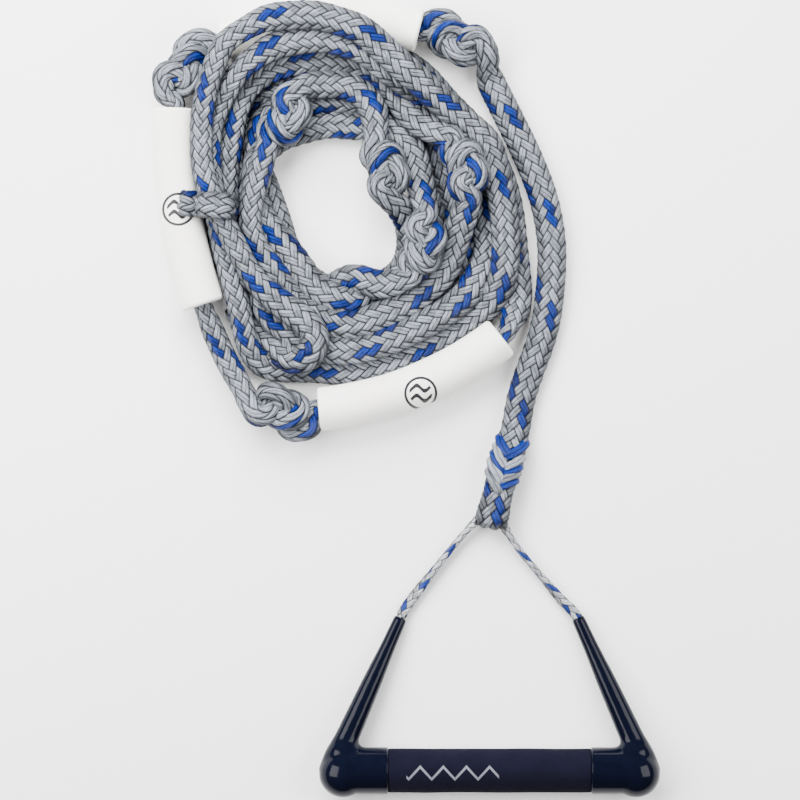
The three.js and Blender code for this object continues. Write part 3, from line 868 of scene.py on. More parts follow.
for number, (y_edge, y_dive, side, half_width, lift, blue) in enumerate(TUCKS):
    points = []
    for run, share, sunk in zip(TUCK_RUN, TUCK_ACROSS, TUCK_SUNK):
        y = y_edge + (y_dive - y_edge) * run
        along = float(np.interp(y, rope.line[fold : fold + 60, 1], rope.gone[fold : fold + 60]))
        middle, aside, above = (rope.at(along, part).ravel() for part in (rope.line, rope.aside, rope.up))
        upright = np.sign(above[2])  # past the eye the rope lies upside down
        aside, above = aside * upright, above * upright
        half_across = float(rope.at(along, rope.half_width))
        half_tall = float(rope.at(along, rope.half_thickness))
        surface = half_tall * (1 - abs(share) ** 2.5) ** 0.4 + 0.4 * PLAIT_HEIGHT
        points.append(middle + aside * share * side * half_across + above * (surface + lift - sunk))
    guide = Guide(spline(points, 1.0), 1.0, 1.0)
    count = len(guide.line)
    taper = np.clip(np.minimum(np.arange(count), np.arange(count)[::-1]) / 4, 0.08, 1) ** 0.5
    angle = np.linspace(0, 2 * math.pi, TUCK_SIDES, endpoint=False)
    base = len(spots)
    for k in range(count):
        for a in angle:
            across = guide.aside[k] * math.cos(a) * half_width * taper[k]
            spots.append(guide.line[k] + across + guide.up[k] * math.sin(a) * TUCK_HALF_THICKNESS * taper[k])
            # On the tucks' undersides crest and level fall to 0, so the material paints shade there.
            marks["crest"].append(max(math.sin(a), 0.0) ** 0.5)
            marks["level"].append(max(math.sin(a), 0.0) ** 0.3)
    for k in range(count - 1):
        for n in range(TUCK_SIDES):
            m = (n + 1) % TUCK_SIDES
            faces.append([base + k * TUCK_SIDES + n, base + k * TUCK_SIDES + m])
            faces[-1] += [base + (k + 1) * TUCK_SIDES + m, base + (k + 1) * TUCK_SIDES + n]
            marks["pad"].append(hash_unit(number, 3))
            marks["tracer"].append(blue)
            for step, turn in ((k, n), (k, n + 1), (k + 1, n + 1), (k + 1, n)):
                seen = 0.5 - 0.5 * math.cos(2 * math.pi * turn / TUCK_SIDES)
                marks["plait"] += [seen, step / 6 + 3 * number]
                marks["OFBake"] += [step / count, (number + turn / (TUCK_SIDES + 2)) / len(TUCKS)]
mesh = bpy.data.meshes.new("eye_splice_tucks")
mesh.from_pydata([tuple(spot * MM) for spot in spots], [], faces)
for title in ("plait", "OFBake"):
    mesh.uv_layers.new(name=title).data.foreach_set("uv", np.array(marks[title], np.float32))
mesh.uv_layers["plait"].active_render = True
for title, domain in (("pad", "FACE"), ("tracer", "FACE"), ("crest", "POINT"), ("level", "POINT")):
    data = mesh.attributes.new(title, "FLOAT", domain)
    data.data.foreach_set("value", np.array(marks[title], np.float32))
mesh.polygons.foreach_set("use_smooth", np.ones(len(mesh.polygons), bool))
tucks = bpy.data.objects.new("eye_splice_tucks", mesh)
bpy.context.scene.collection.objects.link(tucks)
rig.ride(tucks, "root")
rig.slot(tucks, "rope_braid")
print(len(TUCKS), "tucks in", len(faces), "faces")

# %% Hitch over the left strands
FLOAT_RADIUS = 14.75
FLOAT_BORE = 6.3
FLOAT_HEIGHT = FLOAT_RADIUS + 0.3
HITCH_HALF = (8.8, 3.8)
HITCH_REACH = 8.0  # how near a strand is to count as lying under the hitch


def stands_at(x, y):
    """How high the rope or the left float stands at a place."""
    near = np.hypot(rope.line[:, 0] - x, rope.line[:, 1] - y) < HITCH_REACH
    high = float((rope.line[near, 2] + rope.half_thickness[near]).max(initial=0))
    arc = arcs["left_float"]
    off = abs(math.hypot(x - arc.centre[0], y - arc.centre[1]) - arc.radius)
    return max(high, FLOAT_HEIGHT + math.sqrt(max(FLOAT_RADIUS**2 - off**2, 0)))


over = np.column_stack([np.linspace(-203, -176, 8), np.linspace(338.5, 336, 8)])
high = blurred(np.array([stands_at(x, y) for x, y in over]), 1) + HITCH_HALF[1]
hitch_points = [(-207.5, 338.6, 17), (-206.5, 338.5, 26), *np.column_stack([over, high]), (-172.5, 335.6, 24)]
hitch_line = spline([*hitch_points, (-172, 335.4, 16)], FINE)
hitch_guide = Guide(hitch_line, *(np.full(len(hitch_line), half) for half in HITCH_HALF))
hitch = braid("hitch_rope", hitch_guide, 0, hitch_guide.gone[-1], tracers=((1, 2), ()))
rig.ride(hitch, "root")
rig.replaces(hitch, "hitch")
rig.slot(hitch, "rope_braid")

# %% Bridle
BRIDLE_PLAITS = 8
BRIDLE_PITCH = 30.0
BRIDLE_HALF = (3.6, 1.9)
BRIDLE_RELIEF = 0.5
ON_EDGE = math.radians(78)
BRIDLE_LINE = [
    (-59.9, 59.2, 4.7), (-57.6, 64.4, 4.3), (-50.5, 74.6, 3.8), (-38.5, 90, 4.2), (-25, 107, 5),
    (-12.5, 121.2, 6.8), (-5.2, 127.2, 8.8), (1.8, 128.8, 9.6), (7.4, 125.2, 8.8),
    (12.2, 117.4, 6.8), (21, 104.4, 5), (34.5, 88.4, 4.2), (47.5, 73, 3.8), (56.2, 64.2, 4.3),
    (59.9, 59.2, 4.7), (61.9, 54.8, 5.2),
]
BRIDLE_ROW = BRIDLE_PITCH / BRIDLE_PLAITS
BRIDLE_SPARE = 8.0  # line drawn beyond the last row of plaits
bridle_line = spline(BRIDLE_LINE, 1.2)
share = np.linspace(-1, 1, len(bridle_line))
edge_on = np.clip(np.interp(np.abs(share), [0, 0.08, 0.2, 0.55, 0.9, 1], [0, 0.1, 1, 0.95, 0.1, 0]), 0, 1)
bridle_guide = Guide(
    bridle_line,
    *(np.full(len(bridle_line), half) for half in BRIDLE_HALF),
    blurred(edge_on, 6) * ON_EDGE * np.sign(share + 1e-9),
)
bridle_length = float(bridle_guide.gone[-1]) - BRIDLE_SPARE
bridle = braid(
    "bridle_cord", bridle_guide, 0, bridle_length,
    BRIDLE_PLAITS, BRIDLE_PITCH, BRIDLE_RELIEF, ((1,), (2,)),
)
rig.replaces(bridle, "left_bridle_leg", "right_bridle_leg")
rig.slot(bridle, "rope_braid")

# %% Handle frame
BAR_Y = -42.9
BAR_HEIGHT = 15.7
TIP_REACH, TIP_HEIGHT = 104.5, 4.5
DROOP = math.asin((BAR_HEIGHT - TIP_HEIGHT) / TIP_REACH)
ARM_LEAN = math.radians(24.2)
ARM_POINT = (96.7, 20.8)
ARM_END = 90.0
HANDLE = Matrix.Translation((0, BAR_Y, BAR_HEIGHT)) @ Matrix.Rotation(-DROOP, 4, "X")


def on_arm(along, side):
    """A point on an arm's axis, in the row frame, in millimetres."""
    x = side * (ARM_POINT[0] - along * math.sin(ARM_LEAN))
    return HANDLE @ Vector((x, ARM_POINT[1] + along * math.cos(ARM_LEAN), 0))


# %% The bridle's ends inside the arms
STUB_HALF = (2.9, 1.8)
STUB_RELIEF = 0.35
STUB_INSIDE, STUB_OUTSIDE = 16, 3.4
stubs = {}
for word, side in (("left", -1), ("right", 1)):
    stub_line = spline([on_arm(ARM_END - STUB_INSIDE, side), on_arm(ARM_END + STUB_OUTSIDE, side)], 1.0)
    stub_guide = Guide(stub_line, *(np.full(len(stub_line), half) for half in STUB_HALF))
    stub = braid(
        f"{word}_bridle_stub", stub_guide, 0, stub_guide.gone[-1],
        BRIDLE_PLAITS, BRIDLE_PITCH, STUB_RELIEF, ((1,), (2,)),
    )
    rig.ride(stub, "handle")
    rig.replaces(stub, f"{word}_bridle_end")
    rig.slot(stub, "rope_braid")
    stubs[word] = stub

on_the_rope = {
    "mainline_rope": [eye_piece, tucks],
    "coil_rope_upper": [hitch],
}
for name, (stretch, path, length, far_end, lay) in cords.items():
    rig.cord(
        stretch, exit=path[0], length=length, diameter=ROPE_WIDTH * MM, far_end=far_end, stiffness="limp",
        lay=lay, path=path, with_pieces=on_the_rope.get(name, ()),
    )
bridle_path = bridle_guide.path(0, bridle_length + BRIDLE_ROW, 5.0)
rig.cord(
    bridle, exit=bridle_path[0], length=(bridle_length + BRIDLE_ROW) * MM,
    diameter=2 * BRIDLE_HALF[0] * MM, far_end="object", stiffness="limp", path=bridle_path,
)
# The cord's ends bend where the handle lifts: they follow the arms and then turn to the bridle.
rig.blend(bridle, "handle", "bridle", start=(0, 0.0585, TIP_HEIGHT * MM), end=(0, 0.074, TIP_HEIGHT * MM))
print(len(cords) + 1, "cords")

# %% [markdown]
# ## The handle
# An end cap is one moulding: a sleeve over the bar, a round corner and a tapering arm. Its outline could be
# lofted by hand, but the soft fillets where the three meet would be fiddly. So the three are drawn as plain
# turned shapes that overlap, a voxel remesh takes their common skin, and smoothing rounds the creases. The
# grip and the floats are swept tubes with rounded rims, since their skins have no creases to blend.

# %% Shapes
def turned(profile, sides):
    """Vertices and faces of a closed shape turned about X, from (along, radius) points."""
    angle = np.linspace(0, 2 * math.pi, sides, endpoint=False)
    spots = [(x, r * math.cos(a), r * math.sin(a)) for x, r in profile for a in angle]
    rings = len(profile)
    faces = [
        (k * sides + n, k * sides + (n + 1) % sides, (k + 1) * sides + (n + 1) % sides, (k + 1) * sides + n)
        for k in range(rings - 1)
        for n in range(sides)
    ]
    first, last = len(spots), len(spots) + 1
    spots += [(profile[0][0], 0, 0), (profile[-1][0], 0, 0)]
    faces += [(first, (n + 1) % sides, n) for n in range(sides)]
    end = (rings - 1) * sides
    faces += [(last, end + n, end + (n + 1) % sides) for n in range(sides)]
    return spots, faces


def new_piece(name, spots, faces):
    mesh = bpy.data.meshes.new(name)
    mesh.from_pydata([tuple(c * MM for c in spot) for spot in spots], [], faces)
    mesh.update()
    piece = bpy.data.objects.new(name, mesh)
    bpy.context.scene.collection.objects.link(piece)
    return piece


def apply_modifiers(piece):
    seen = piece.evaluated_get(bpy.context.evaluated_depsgraph_get())
    piece.data = bpy.data.meshes.new_from_object(seen)
    piece.modifiers.clear()


def shade_smooth(piece):
    piece.data.polygons.foreach_set("use_smooth", np.ones(len(piece.data.polygons), bool))


# %% End caps
GRIP_HALF = 68.5
SLEEVE_RADIUS = 15.8
BALL_CENTRE, BALL_RADIUS = (98.7, -1.9), 16.2
# The web fills the hollow between the round corner and the arm.
WEB_CENTRE, WEB_RADIUS, WEB_HEIGHT = (97.8, 9.2), 13.4, 12.0
ARM_PROFILE = [
    # along the arm's axis, and the radius there
    (-26, 9.0), (-14, 9.8), (-7, 9.3), (0, 8.5), (11.7, 7.8), (35.5, 6.9), (47.4, 6.35),
    (59.3, 5.6), (71.2, 5.0), (88, 4.5), (90, 4.1),
]
CAP_VOXEL = 0.5
CAP_SMOOTHING = 14
WEB_REACH, WEB_SMOOTHING = 24, 120
MOUTH_RADIUS, MOUTH_DEPTH = 3.0, 9.0


def build_cap(word, side):
    arm_spots, arm_faces = turned(spline(ARM_PROFILE, 1.5), 48)
    to_arm = Matrix.Translation((*ARM_POINT, 0)) @ Matrix.Rotation(math.pi / 2 + ARM_LEAN, 4, "Z")
    sleeve_profile = [
        (GRIP_HALF - 0.3, 14.9), (GRIP_HALF, 15.7),
        (GRIP_HALF + 1, SLEEVE_RADIUS), (BALL_CENTRE[0], SLEEVE_RADIUS),
    ]
    sleeve_spots, sleeve_faces = turned(sleeve_profile, 72)
    lean = np.linspace(0.02, math.pi - 0.02, 40)
    ball_profile = [(-BALL_RADIUS * math.cos(a), BALL_RADIUS * math.sin(a)) for a in lean]
    ball_spots, ball_faces = turned(ball_profile, 72)
    web_spots = [
        (x * WEB_RADIUS / BALL_RADIUS, y * WEB_RADIUS / BALL_RADIUS, z * WEB_HEIGHT / BALL_RADIUS)
        for x, y, z in ball_spots
    ]
    spots, faces = [], []
    for shape_spots, shape_faces, placed in (
        (arm_spots, arm_faces, to_arm),
        (sleeve_spots, sleeve_faces, Matrix()),
        (ball_spots, ball_faces, Matrix.Translation((*BALL_CENTRE, 0))),
        (web_spots, ball_faces, Matrix.Translation((*WEB_CENTRE, 0))),
    ):
        base = len(spots)
        spots += [placed @ Vector(spot) for spot in shape_spots]
        faces += [tuple(base + corner for corner in face) for face in shape_faces]
    piece = new_piece(f"{word}_cap_moulding", spots, faces)
    skin = piece.modifiers.new("skin", "REMESH")
    skin.mode, skin.voxel_size = "VOXEL", CAP_VOXEL * MM
    rounded = piece.modifiers.new("rounded", "SMOOTH")
    rounded.factor, rounded.iterations = 0.5, CAP_SMOOTHING
    apply_modifiers(piece)
    near_web = piece.vertex_groups.new(name="web")
    for vert in piece.data.vertices:
        away = (vert.co / MM - Vector((*WEB_CENTRE, 0))).length
        near_web.add([vert.index], min(max((WEB_REACH - away) / 6, 0), 1), "REPLACE")
    blended = piece.modifiers.new("blended", "SMOOTH")
    blended.factor, blended.iterations, blended.vertex_group = 0.5, WEB_SMOOTHING, "web"
    apply_modifiers(piece)

    mouth_profile = [(ARM_END - MOUTH_DEPTH, MOUTH_RADIUS), (ARM_END + 4, MOUTH_RADIUS)]
    mouth_spots, mouth_faces = turned(mouth_profile, 32)
    cutter = new_piece("mouth_cutter", [to_arm @ Vector(spot) for spot in mouth_spots], mouth_faces)
    cut = piece.modifiers.new("mouth", "BOOLEAN")
    cut.object, cut.solver = cutter, "FAST"
    apply_modifiers(piece)
    bpy.data.objects.remove(cutter)

    in_metres = Matrix.Translation((0, BAR_Y * MM, BAR_HEIGHT * MM)) @ Matrix.Rotation(-DROOP, 4, "X")
    shape = bmesh.new()
    shape.from_mesh(piece.data)
    bmesh.ops.transform(shape, matrix=in_metres @ Matrix.Diagonal((side, 1, 1, 1)), verts=shape.verts)
    if side < 0:
        bmesh.ops.reverse_faces(shape, faces=shape.faces)
    for vert in shape.verts:
        vert.co.z = max(vert.co.z, 0.0)
    shape.to_mesh(piece.data)
    shape.free()
    shade_smooth(piece)
    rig.ride(piece, "handle")
    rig.replaces(piece, f"{word}_end_cap")
    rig.slot(piece, "moulded_arm")
    print(piece.name, len(piece.data.polygons), "faces")
    return piece


caps = [build_cap("left", -1), build_cap("right", 1)]


# %% Tubes swept along an arc or the bar
def swept(name, profile, place, sides, lumps=0.0):
    """A closed ring-shaped piece: a loop of (along, radius) points, turned about the line of place."""
    angle = np.linspace(0, 2 * math.pi, sides, endpoint=False)
    spots = []
    for along, radius in profile:
        for a in angle:
            r = radius + lumps * (math.sin(along / 11 + 2 * a) + math.sin(along / 7.3 - 3 * a + 1))
            spots.append(place(along, r * math.cos(a), r * math.sin(a)))
    count = len(profile)
    faces = []
    for k in range(count):
        ring, after = k * sides, (k + 1) % count * sides
        for n in range(sides):
            beside = (n + 1) % sides
            faces.append((ring + n, ring + beside, after + beside, after + n))
    piece = new_piece(name, spots, faces)
    shape = bmesh.new()
    shape.from_mesh(piece.data)
    bmesh.ops.recalc_face_normals(shape, faces=shape.faces)
    shape.to_mesh(piece.data)
    shape.free()
    shade_smooth(piece)
    return piece


def tube_profile(length, outer, inner, rim, step=2.0):
    """A tube's section as a loop of (along, radius) points, with rounded rims."""
    bend = np.linspace(0, math.pi / 2, 7)
    start = [(rim * (1 - math.sin(a)), outer - rim + rim * math.cos(a)) for a in bend[::-1]]
    end = [(length - along, radius) for along, radius in start[::-1]]
    run = [(along, outer) for along in np.arange(rim + step, length - rim - step / 2, step)]
    face = [(0.0, inner + 1.2), (0.0, (inner + outer - rim) / 2)]
    bore = [(length - 1.2, inner), (length / 2, inner), (1.2, inner)]
    return face + start + run + end + [(length - along, radius) for along, radius in face[::-1]] + bore


# %% Grip sleeve
GRIP_RADIUS = 14.8
grip = swept(
    "grip_suede_sleeve",
    tube_profile(2 * GRIP_HALF, GRIP_RADIUS, 11.3, 1.1),
    lambda along, across, up: HANDLE @ Vector((along - GRIP_HALF, across, up)),
    96,
    lumps=0.07,
)
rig.ride(grip, "handle")
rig.replaces(grip, "grip_sleeve")
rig.slot(grip, "grip_suede")
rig.padded(grip, fill=1)
print(grip.name, len(grip.data.polygons), "faces")

# %% Floats
FLOAT_RIM = 2.4
floats = {}
for name, arc in arcs.items():
    length = abs(arc.sweep) * arc.radius

    def place(along, across, up, arc=arc):
        angle = arc.start + math.copysign(along / arc.radius, arc.sweep)
        far = arc.radius + across
        x, y = arc.centre[0] + far * math.cos(angle), arc.centre[1] + far * math.sin(angle)
        return (x, y, FLOAT_HEIGHT + up)

    profile = tube_profile(length, FLOAT_RADIUS - 0.1, FLOAT_BORE, FLOAT_RIM)
    piece = swept(f"{name}_foam", profile, place, 72, lumps=0.06)
    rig.ride(piece, name)
    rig.replaces(piece, name)
    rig.slot(piece, "float_foam")
    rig.padded(piece, fill=1)
    floats[name] = piece
print("floats", [len(piece.data.polygons) for piece in floats.values()])

# %% [markdown]
# ## Materials
# Every finish is made of nodes. The effects that several finishes share are node groups with sockets, so
# that one yarn pattern serves the rope and the bridle. An image of a braid would be quicker, but would not
# follow the plaits through a knot as the braid's own map does.

# %% Node helpers
def wire(tree, value, socket):
    """Links an output to a socket, or sets the socket to a plain value."""
    if isinstance(value, bpy.types.NodeSocket):
        tree.links.new(value, socket)
    else:
        socket.default_value = value


def maths(tree, operation, first, second=0.0, clamp=False):
    node = tree.nodes.new("ShaderNodeMath")
    node.operation, node.use_clamp = operation, clamp
    wire(tree, first, node.inputs[0])
    wire(tree, second, node.inputs[1])
    return node.outputs[0]


def mix_colour(tree, share, first, second):
    node = tree.nodes.new("ShaderNodeMix")
    node.data_type = "RGBA"
    wire(tree, share, node.inputs["Factor"])
    wire(tree, first, node.inputs[6])
    wire(tree, second, node.inputs[7])
    return node.outputs[2]


def ramp(tree, value, low, high, out_low=0.0, out_high=1.0):
    """A smooth step from low to high."""
    node = tree.nodes.new("ShaderNodeMapRange")
    node.interpolation_type = "SMOOTHSTEP"
    for key, number in enumerate((value, low, high, out_low, out_high)):
        wire(tree, number, node.inputs[key])
    return node.outputs[0]


def noise(tree, vector, scale, detail=2.0, roughness=0.5):
    node = tree.nodes.new("ShaderNodeTexNoise")
    wire(tree, vector, node.inputs["Vector"])
    for title, number in (("Scale", scale), ("Detail", detail), ("Roughness", roughness)):
        node.inputs[title].default_value = number
    return node.outputs["Fac"]


def new_group(name, inputs, outputs):
    tree = bpy.data.node_groups.new(name, "ShaderNodeTree")
    for title, kind in inputs:
        tree.interface.new_socket(title, in_out="INPUT", socket_type=kind)
    for title, kind in outputs:
        tree.interface.new_socket(title, in_out="OUTPUT", socket_type=kind)
    return tree, tree.nodes.new("NodeGroupInput").outputs, tree.nodes.new("NodeGroupOutput").inputs


def use_group(tree, group, **inputs):
    node = tree.nodes.new("ShaderNodeGroup")
    node.node_tree = group
    for title, value in inputs.items():
        wire(tree, value, node.inputs[title.replace("_", " ")])
    return node.outputs


def new_material(name, **settings):
    """A material, its tree and its Principled node with the plain settings made on the shader itself."""
    material = bpy.data.materials.new(name)
    material.use_nodes = True
    tree = material.node_tree
    shader = tree.nodes["Principled BSDF"]
    for title, value in settings.items():
        shader.inputs[title.replace("_", " ")].default_value = value
    return material, tree, shader.inputs


def bump(tree, height, strength, distance, normal):
    node = tree.nodes.new("ShaderNodeBump")
    node.inputs["Strength"].default_value = strength
    node.inputs["Distance"].default_value = distance
    tree.links.new(height, node.inputs["Height"])
    tree.links.new(node.outputs[0], normal)


def object_place(tree):
    return tree.nodes.new("ShaderNodeTexCoord").outputs["Object"]


# %% [markdown]
# ### Yarn
# A plait is two flat yarns side by side, each a bundle of shiny fibres. The braid's map gives the place
# across and along each plait. From these come a painted shade line between the yarns, fine streaks along
# the fibres that are partly fibre texture and partly painted shine, and slightly different brightness
# from one pad to the next. The colour is also darkened as painted shade in the grooves where a plait
# dives under, and on the lower flanks of each strand.

# %% Yarn group
FLOAT_KIND, VECTOR_KIND = "NodeSocketFloat", "NodeSocketVector"
yarn, inside, outside = new_group(
    "plait yarn",
    [("Map", VECTOR_KIND)] + [(title, FLOAT_KIND) for title in ("Crest", "Level", "Pad", "Yarns")],
    [("Shade", FLOAT_KIND), ("Height", FLOAT_KIND)],
)
split = yarn.nodes.new("ShaderNodeSeparateXYZ")
yarn.links.new(inside["Map"], split.inputs[0])
across, along = split.outputs[0], split.outputs[1]
stretched = yarn.nodes.new("ShaderNodeCombineXYZ")
yarn.links.new(maths(yarn, "MULTIPLY", across, 24.0), stretched.inputs[0])
yarn.links.new(maths(yarn, "MULTIPLY", along, 1.6), stretched.inputs[1])
yarn.links.new(maths(yarn, "MULTIPLY", inside["Pad"], 30.0), stretched.inputs[2])
fibres = noise(yarn, stretched.outputs[0], 1.0, 3.0, 0.6)
loose = yarn.nodes.new("ShaderNodeCombineXYZ")
yarn.links.new(maths(yarn, "MULTIPLY", along, 1.3), loose.inputs[0])
yarn.links.new(maths(yarn, "MULTIPLY", inside["Pad"], 50.0), loose.inputs[1])
wander = maths(yarn, "MULTIPLY", maths(yarn, "SUBTRACT", noise(yarn, loose.outputs[0], 1.0), 0.5), 0.5)
wandered = maths(yarn, "ADD", across, maths(yarn, "MULTIPLY", wander, 0.4))
laid = maths(yarn, "MULTIPLY", wandered, inside["Yarns"])
in_yarn = maths(yarn, "ABSOLUTE", maths(yarn, "SUBTRACT", maths(yarn, "FRACT", laid), 0.5))
body = ramp(yarn, in_yarn, 0.5, 0.3)
# Painted shade: the colour darkens in the grooves at a plait's edges, where it dives under the next plait.
painted_groove_shade = ramp(yarn, inside["Crest"], 0.0, 0.6, 0.12, 1.0)
# lit joins both painted shades: the dark line in the crease between the two yarns, and the grooves. body also feeds
# the bump.
lit = maths(yarn, "MULTIPLY", ramp(yarn, body, 0.0, 1.0, 0.35, 0.9), painted_groove_shade)
# The fibre streaks are partly fibre texture and partly painted shine: their bright side stands in for the yarns'
# glints.
streaks_and_painted_shine = maths(yarn, "MULTIPLY", lit, ramp(yarn, fibres, 0.3, 0.7, 0.25, 1.5))
uneven = maths(yarn, "ADD", maths(yarn, "MULTIPLY", inside["Pad"], 0.7), 0.55)
# Painted shade: the strands darken towards their lower flanks, where the surface turns away from up.
painted_flank_shade = ramp(yarn, inside["Level"], 0.0, 0.95, 0.22, 1.1)
yarn.links.new(maths(yarn, "MULTIPLY", maths(yarn, "MULTIPLY", streaks_and_painted_shine, uneven), painted_flank_shade), outside["Shade"])
height = maths(yarn, "ADD", maths(yarn, "MULTIPLY", body, 0.7), maths(yarn, "MULTIPLY", fibres, 0.5))
yarn.links.new(height, outside["Height"])
print("group", yarn.name)


# %% Rope and bridle
def braid_material(name, yarns, light, dark, tracer, tracer_dark, distance):
    material, tree, shader = new_material(
        name, Roughness=0.38, Specular_IOR_Level=0.28
    )
    plait_map = tree.nodes.new("ShaderNodeUVMap")
    plait_map.uv_map = "plait"
    read = {}
    for title in ("crest", "level", "pad", "tracer"):
        read[title] = tree.nodes.new("ShaderNodeAttribute")
        read[title].attribute_name = title
    made = use_group(
        tree, yarn, Map=plait_map.outputs[0], Crest=read["crest"].outputs["Fac"],
        Level=read["level"].outputs["Fac"], Pad=read["pad"].outputs["Fac"], Yarns=yarns,
    )
    # Shade carries painted shade (grooves, yarn lines, lower flanks) and painted shine besides the pads' own tone. The
    # dark colour is the colour of the painted shade.
    grey = mix_colour(tree, made["Shade"], dark, light)
    blue = mix_colour(tree, made["Shade"], tracer_dark, tracer)
    tree.links.new(mix_colour(tree, read["tracer"].outputs["Fac"], grey, blue), shader["Base Color"])
    bump(tree, made["Height"], 0.7, distance, shader["Normal"])
    return material


rope_finish = braid_material(
    "rope braid", 2.0, (0.215, 0.233, 0.268, 1), (0.001, 0.001, 0.0014, 1), (0.0, 0.016, 0.16, 1),
    (0.0, 0.0006, 0.010, 1), 0.0012,
)
bridle_finish = braid_material(
    "bridle braid", 2.0, (0.40, 0.41, 0.44, 1), (0.008, 0.008, 0.009, 1), (0.0, 0.018, 0.17, 1),
    (0.0, 0.002, 0.02, 1), 0.0004,
)
for piece in [eye_piece, tucks, hitch, *(cord[0] for cord in cords.values())]:
    piece.data.materials.append(rope_finish)
for piece in [bridle, *stubs.values()]:
    piece.data.materials.append(bridle_finish)

# %% Moulded caps
# The nylon is nearly black, so its look comes from what it mirrors. A faint flow pattern breaks that up.
cap_finish, tree, shader = new_material("moulded nylon", Specular_IOR_Level=0.11)
place_in = object_place(tree)
flow = noise(tree, place_in, 140.0, 3.0)
grain = noise(tree, place_in, 1800.0, 1.0)
navy = mix_colour(tree, flow, (0.0011, 0.0016, 0.0052, 1), (0.0018, 0.0026, 0.0084, 1))
tree.links.new(navy, shader["Base Color"])
tree.links.new(ramp(tree, flow, 0.3, 0.7, 0.09, 0.15), shader["Roughness"])
bump(tree, maths(tree, "ADD", flow, maths(tree, "MULTIPLY", grain, 0.05)), 0.03, 0.001, shader["Normal"])
for piece in caps:
    piece.data.materials.append(cap_finish)

# %% Grip
# Suede-like foam with a nap. A plain zigzag line is printed on it in silver.
MARK_FROM, MARK_TO = -0.056, 0.006  # along the bar
MARK_WAVE = 0.0155
MARK_HALF_HEIGHT = 0.0042
MARK_LINE = 0.0011
MARK_Y = -0.0435
grip_finish, tree, shader = new_material("grip suede", Roughness=1.0, Specular_IOR_Level=0.08)
place_in = object_place(tree)
split = tree.nodes.new("ShaderNodeSeparateXYZ")
tree.links.new(place_in, split.inputs[0])
nap = noise(tree, place_in, 2600.0, 2.0, 0.7)
worn = noise(tree, place_in, 60.0, 3.0)
cloth = mix_colour(tree, worn, (0.0024, 0.0024, 0.0064, 1), (0.0056, 0.0052, 0.0130, 1))
wave = maths(tree, "PINGPONG", maths(tree, "ADD", split.outputs[0], 1.0), MARK_WAVE / 2)
zigzag = maths(tree, "SUBTRACT", wave, MARK_WAVE / 4)
zigzag = maths(tree, "MULTIPLY", zigzag, 4 * MARK_HALF_HEIGHT / MARK_WAVE)
off_line = maths(tree, "SUBTRACT", maths(tree, "SUBTRACT", split.outputs[1], MARK_Y), zigzag)
printed = maths(tree, "LESS_THAN", maths(tree, "ABSOLUTE", off_line), MARK_LINE)
printed = maths(tree, "MULTIPLY", printed, maths(tree, "GREATER_THAN", split.outputs[2], 0.02))
printed = maths(tree, "MULTIPLY", printed, maths(tree, "GREATER_THAN", split.outputs[0], MARK_FROM))
printed = maths(tree, "MULTIPLY", printed, maths(tree, "LESS_THAN", split.outputs[0], MARK_TO))
silver = mix_colour(tree, nap, (0.09, 0.09, 0.115, 1), (0.17, 0.17, 0.20, 1))
tree.links.new(mix_colour(tree, printed, cloth, silver), shader["Base Color"])
bump(tree, maths(tree, "ADD", nap, maths(tree, "MULTIPLY", worn, 2.0)), 0.5, 0.0003, shader["Normal"])
grip.data.materials.append(grip_finish)

# %% Floats
# Closed-cell foam: off-white with a satin skin, creamier in soft patches, and on two floats a round printed
# badge that holds nothing but two waves.
badge, inside, outside = new_group(
    "round badge",
    [("Place", VECTOR_KIND), ("Centre", VECTOR_KIND), ("Radius", FLOAT_KIND)],
    [("Ink", FLOAT_KIND)],
)
shift = badge.nodes.new("ShaderNodeVectorMath")
shift.operation = "SUBTRACT"
badge.links.new(inside["Place"], shift.inputs[0])
badge.links.new(inside["Centre"], shift.inputs[1])
split = badge.nodes.new("ShaderNodeSeparateXYZ")
badge.links.new(shift.outputs[0], split.inputs[0])
x, y = (maths(badge, "DIVIDE", split.outputs[k], inside["Radius"]) for k in (0, 1))
squares = maths(badge, "ADD", maths(badge, "MULTIPLY", x, x), maths(badge, "MULTIPLY", y, y))
far = maths(badge, "SQRT", squares)
ring = maths(badge, "MULTIPLY", maths(badge, "LESS_THAN", far, 1.0), maths(badge, "GREATER_THAN", far, 0.84))
swing = maths(badge, "MULTIPLY", maths(badge, "SINE", maths(badge, "MULTIPLY", x, 6.5)), 0.16)
off_middle = maths(badge, "ABSOLUTE", maths(badge, "ADD", y, swing))
off_wave = maths(badge, "ABSOLUTE", maths(badge, "SUBTRACT", off_middle, 0.3))
bars = maths(badge, "LESS_THAN", off_wave, 0.13)
waves = maths(badge, "MULTIPLY", bars, maths(badge, "LESS_THAN", far, 0.7))
on_top = maths(badge, "GREATER_THAN", split.outputs[2], 0.0)
badge.links.new(maths(badge, "MULTIPLY", maths(badge, "MAXIMUM", ring, waves), on_top), outside["Ink"])

BADGES = {"bottom_float": (-0.0464, 0.2112), "left_float": (-0.2090, 0.3345)}
BADGE_RADIUS = 0.0112
for name, piece in floats.items():
    foam_finish, tree, shader = new_material(f"{name} foam", Roughness=0.5, Specular_IOR_Level=0.35)
    place_in = object_place(tree)
    cells = noise(tree, place_in, 900.0, 3.0, 0.6)
    cast = noise(tree, place_in, 45.0, 2.0)
    skin = mix_colour(tree, ramp(tree, cast, 0.35, 0.75), (0.90, 0.895, 0.865, 1), (0.85, 0.83, 0.76, 1))
    if name in BADGES:
        centre = (*BADGES[name], FLOAT_HEIGHT * MM)
        ink = use_group(tree, badge, Place=place_in, Centre=centre, Radius=BADGE_RADIUS)["Ink"]
        skin = mix_colour(tree, ink, skin, (0.012, 0.012, 0.014, 1))
    tree.links.new(skin, shader["Base Color"])
    bump(tree, maths(tree, "ADD", cells, maths(tree, "MULTIPLY", cast, 3.0)), 0.35, 0.0004, shader["Normal"])
    piece.data.materials.append(foam_finish)

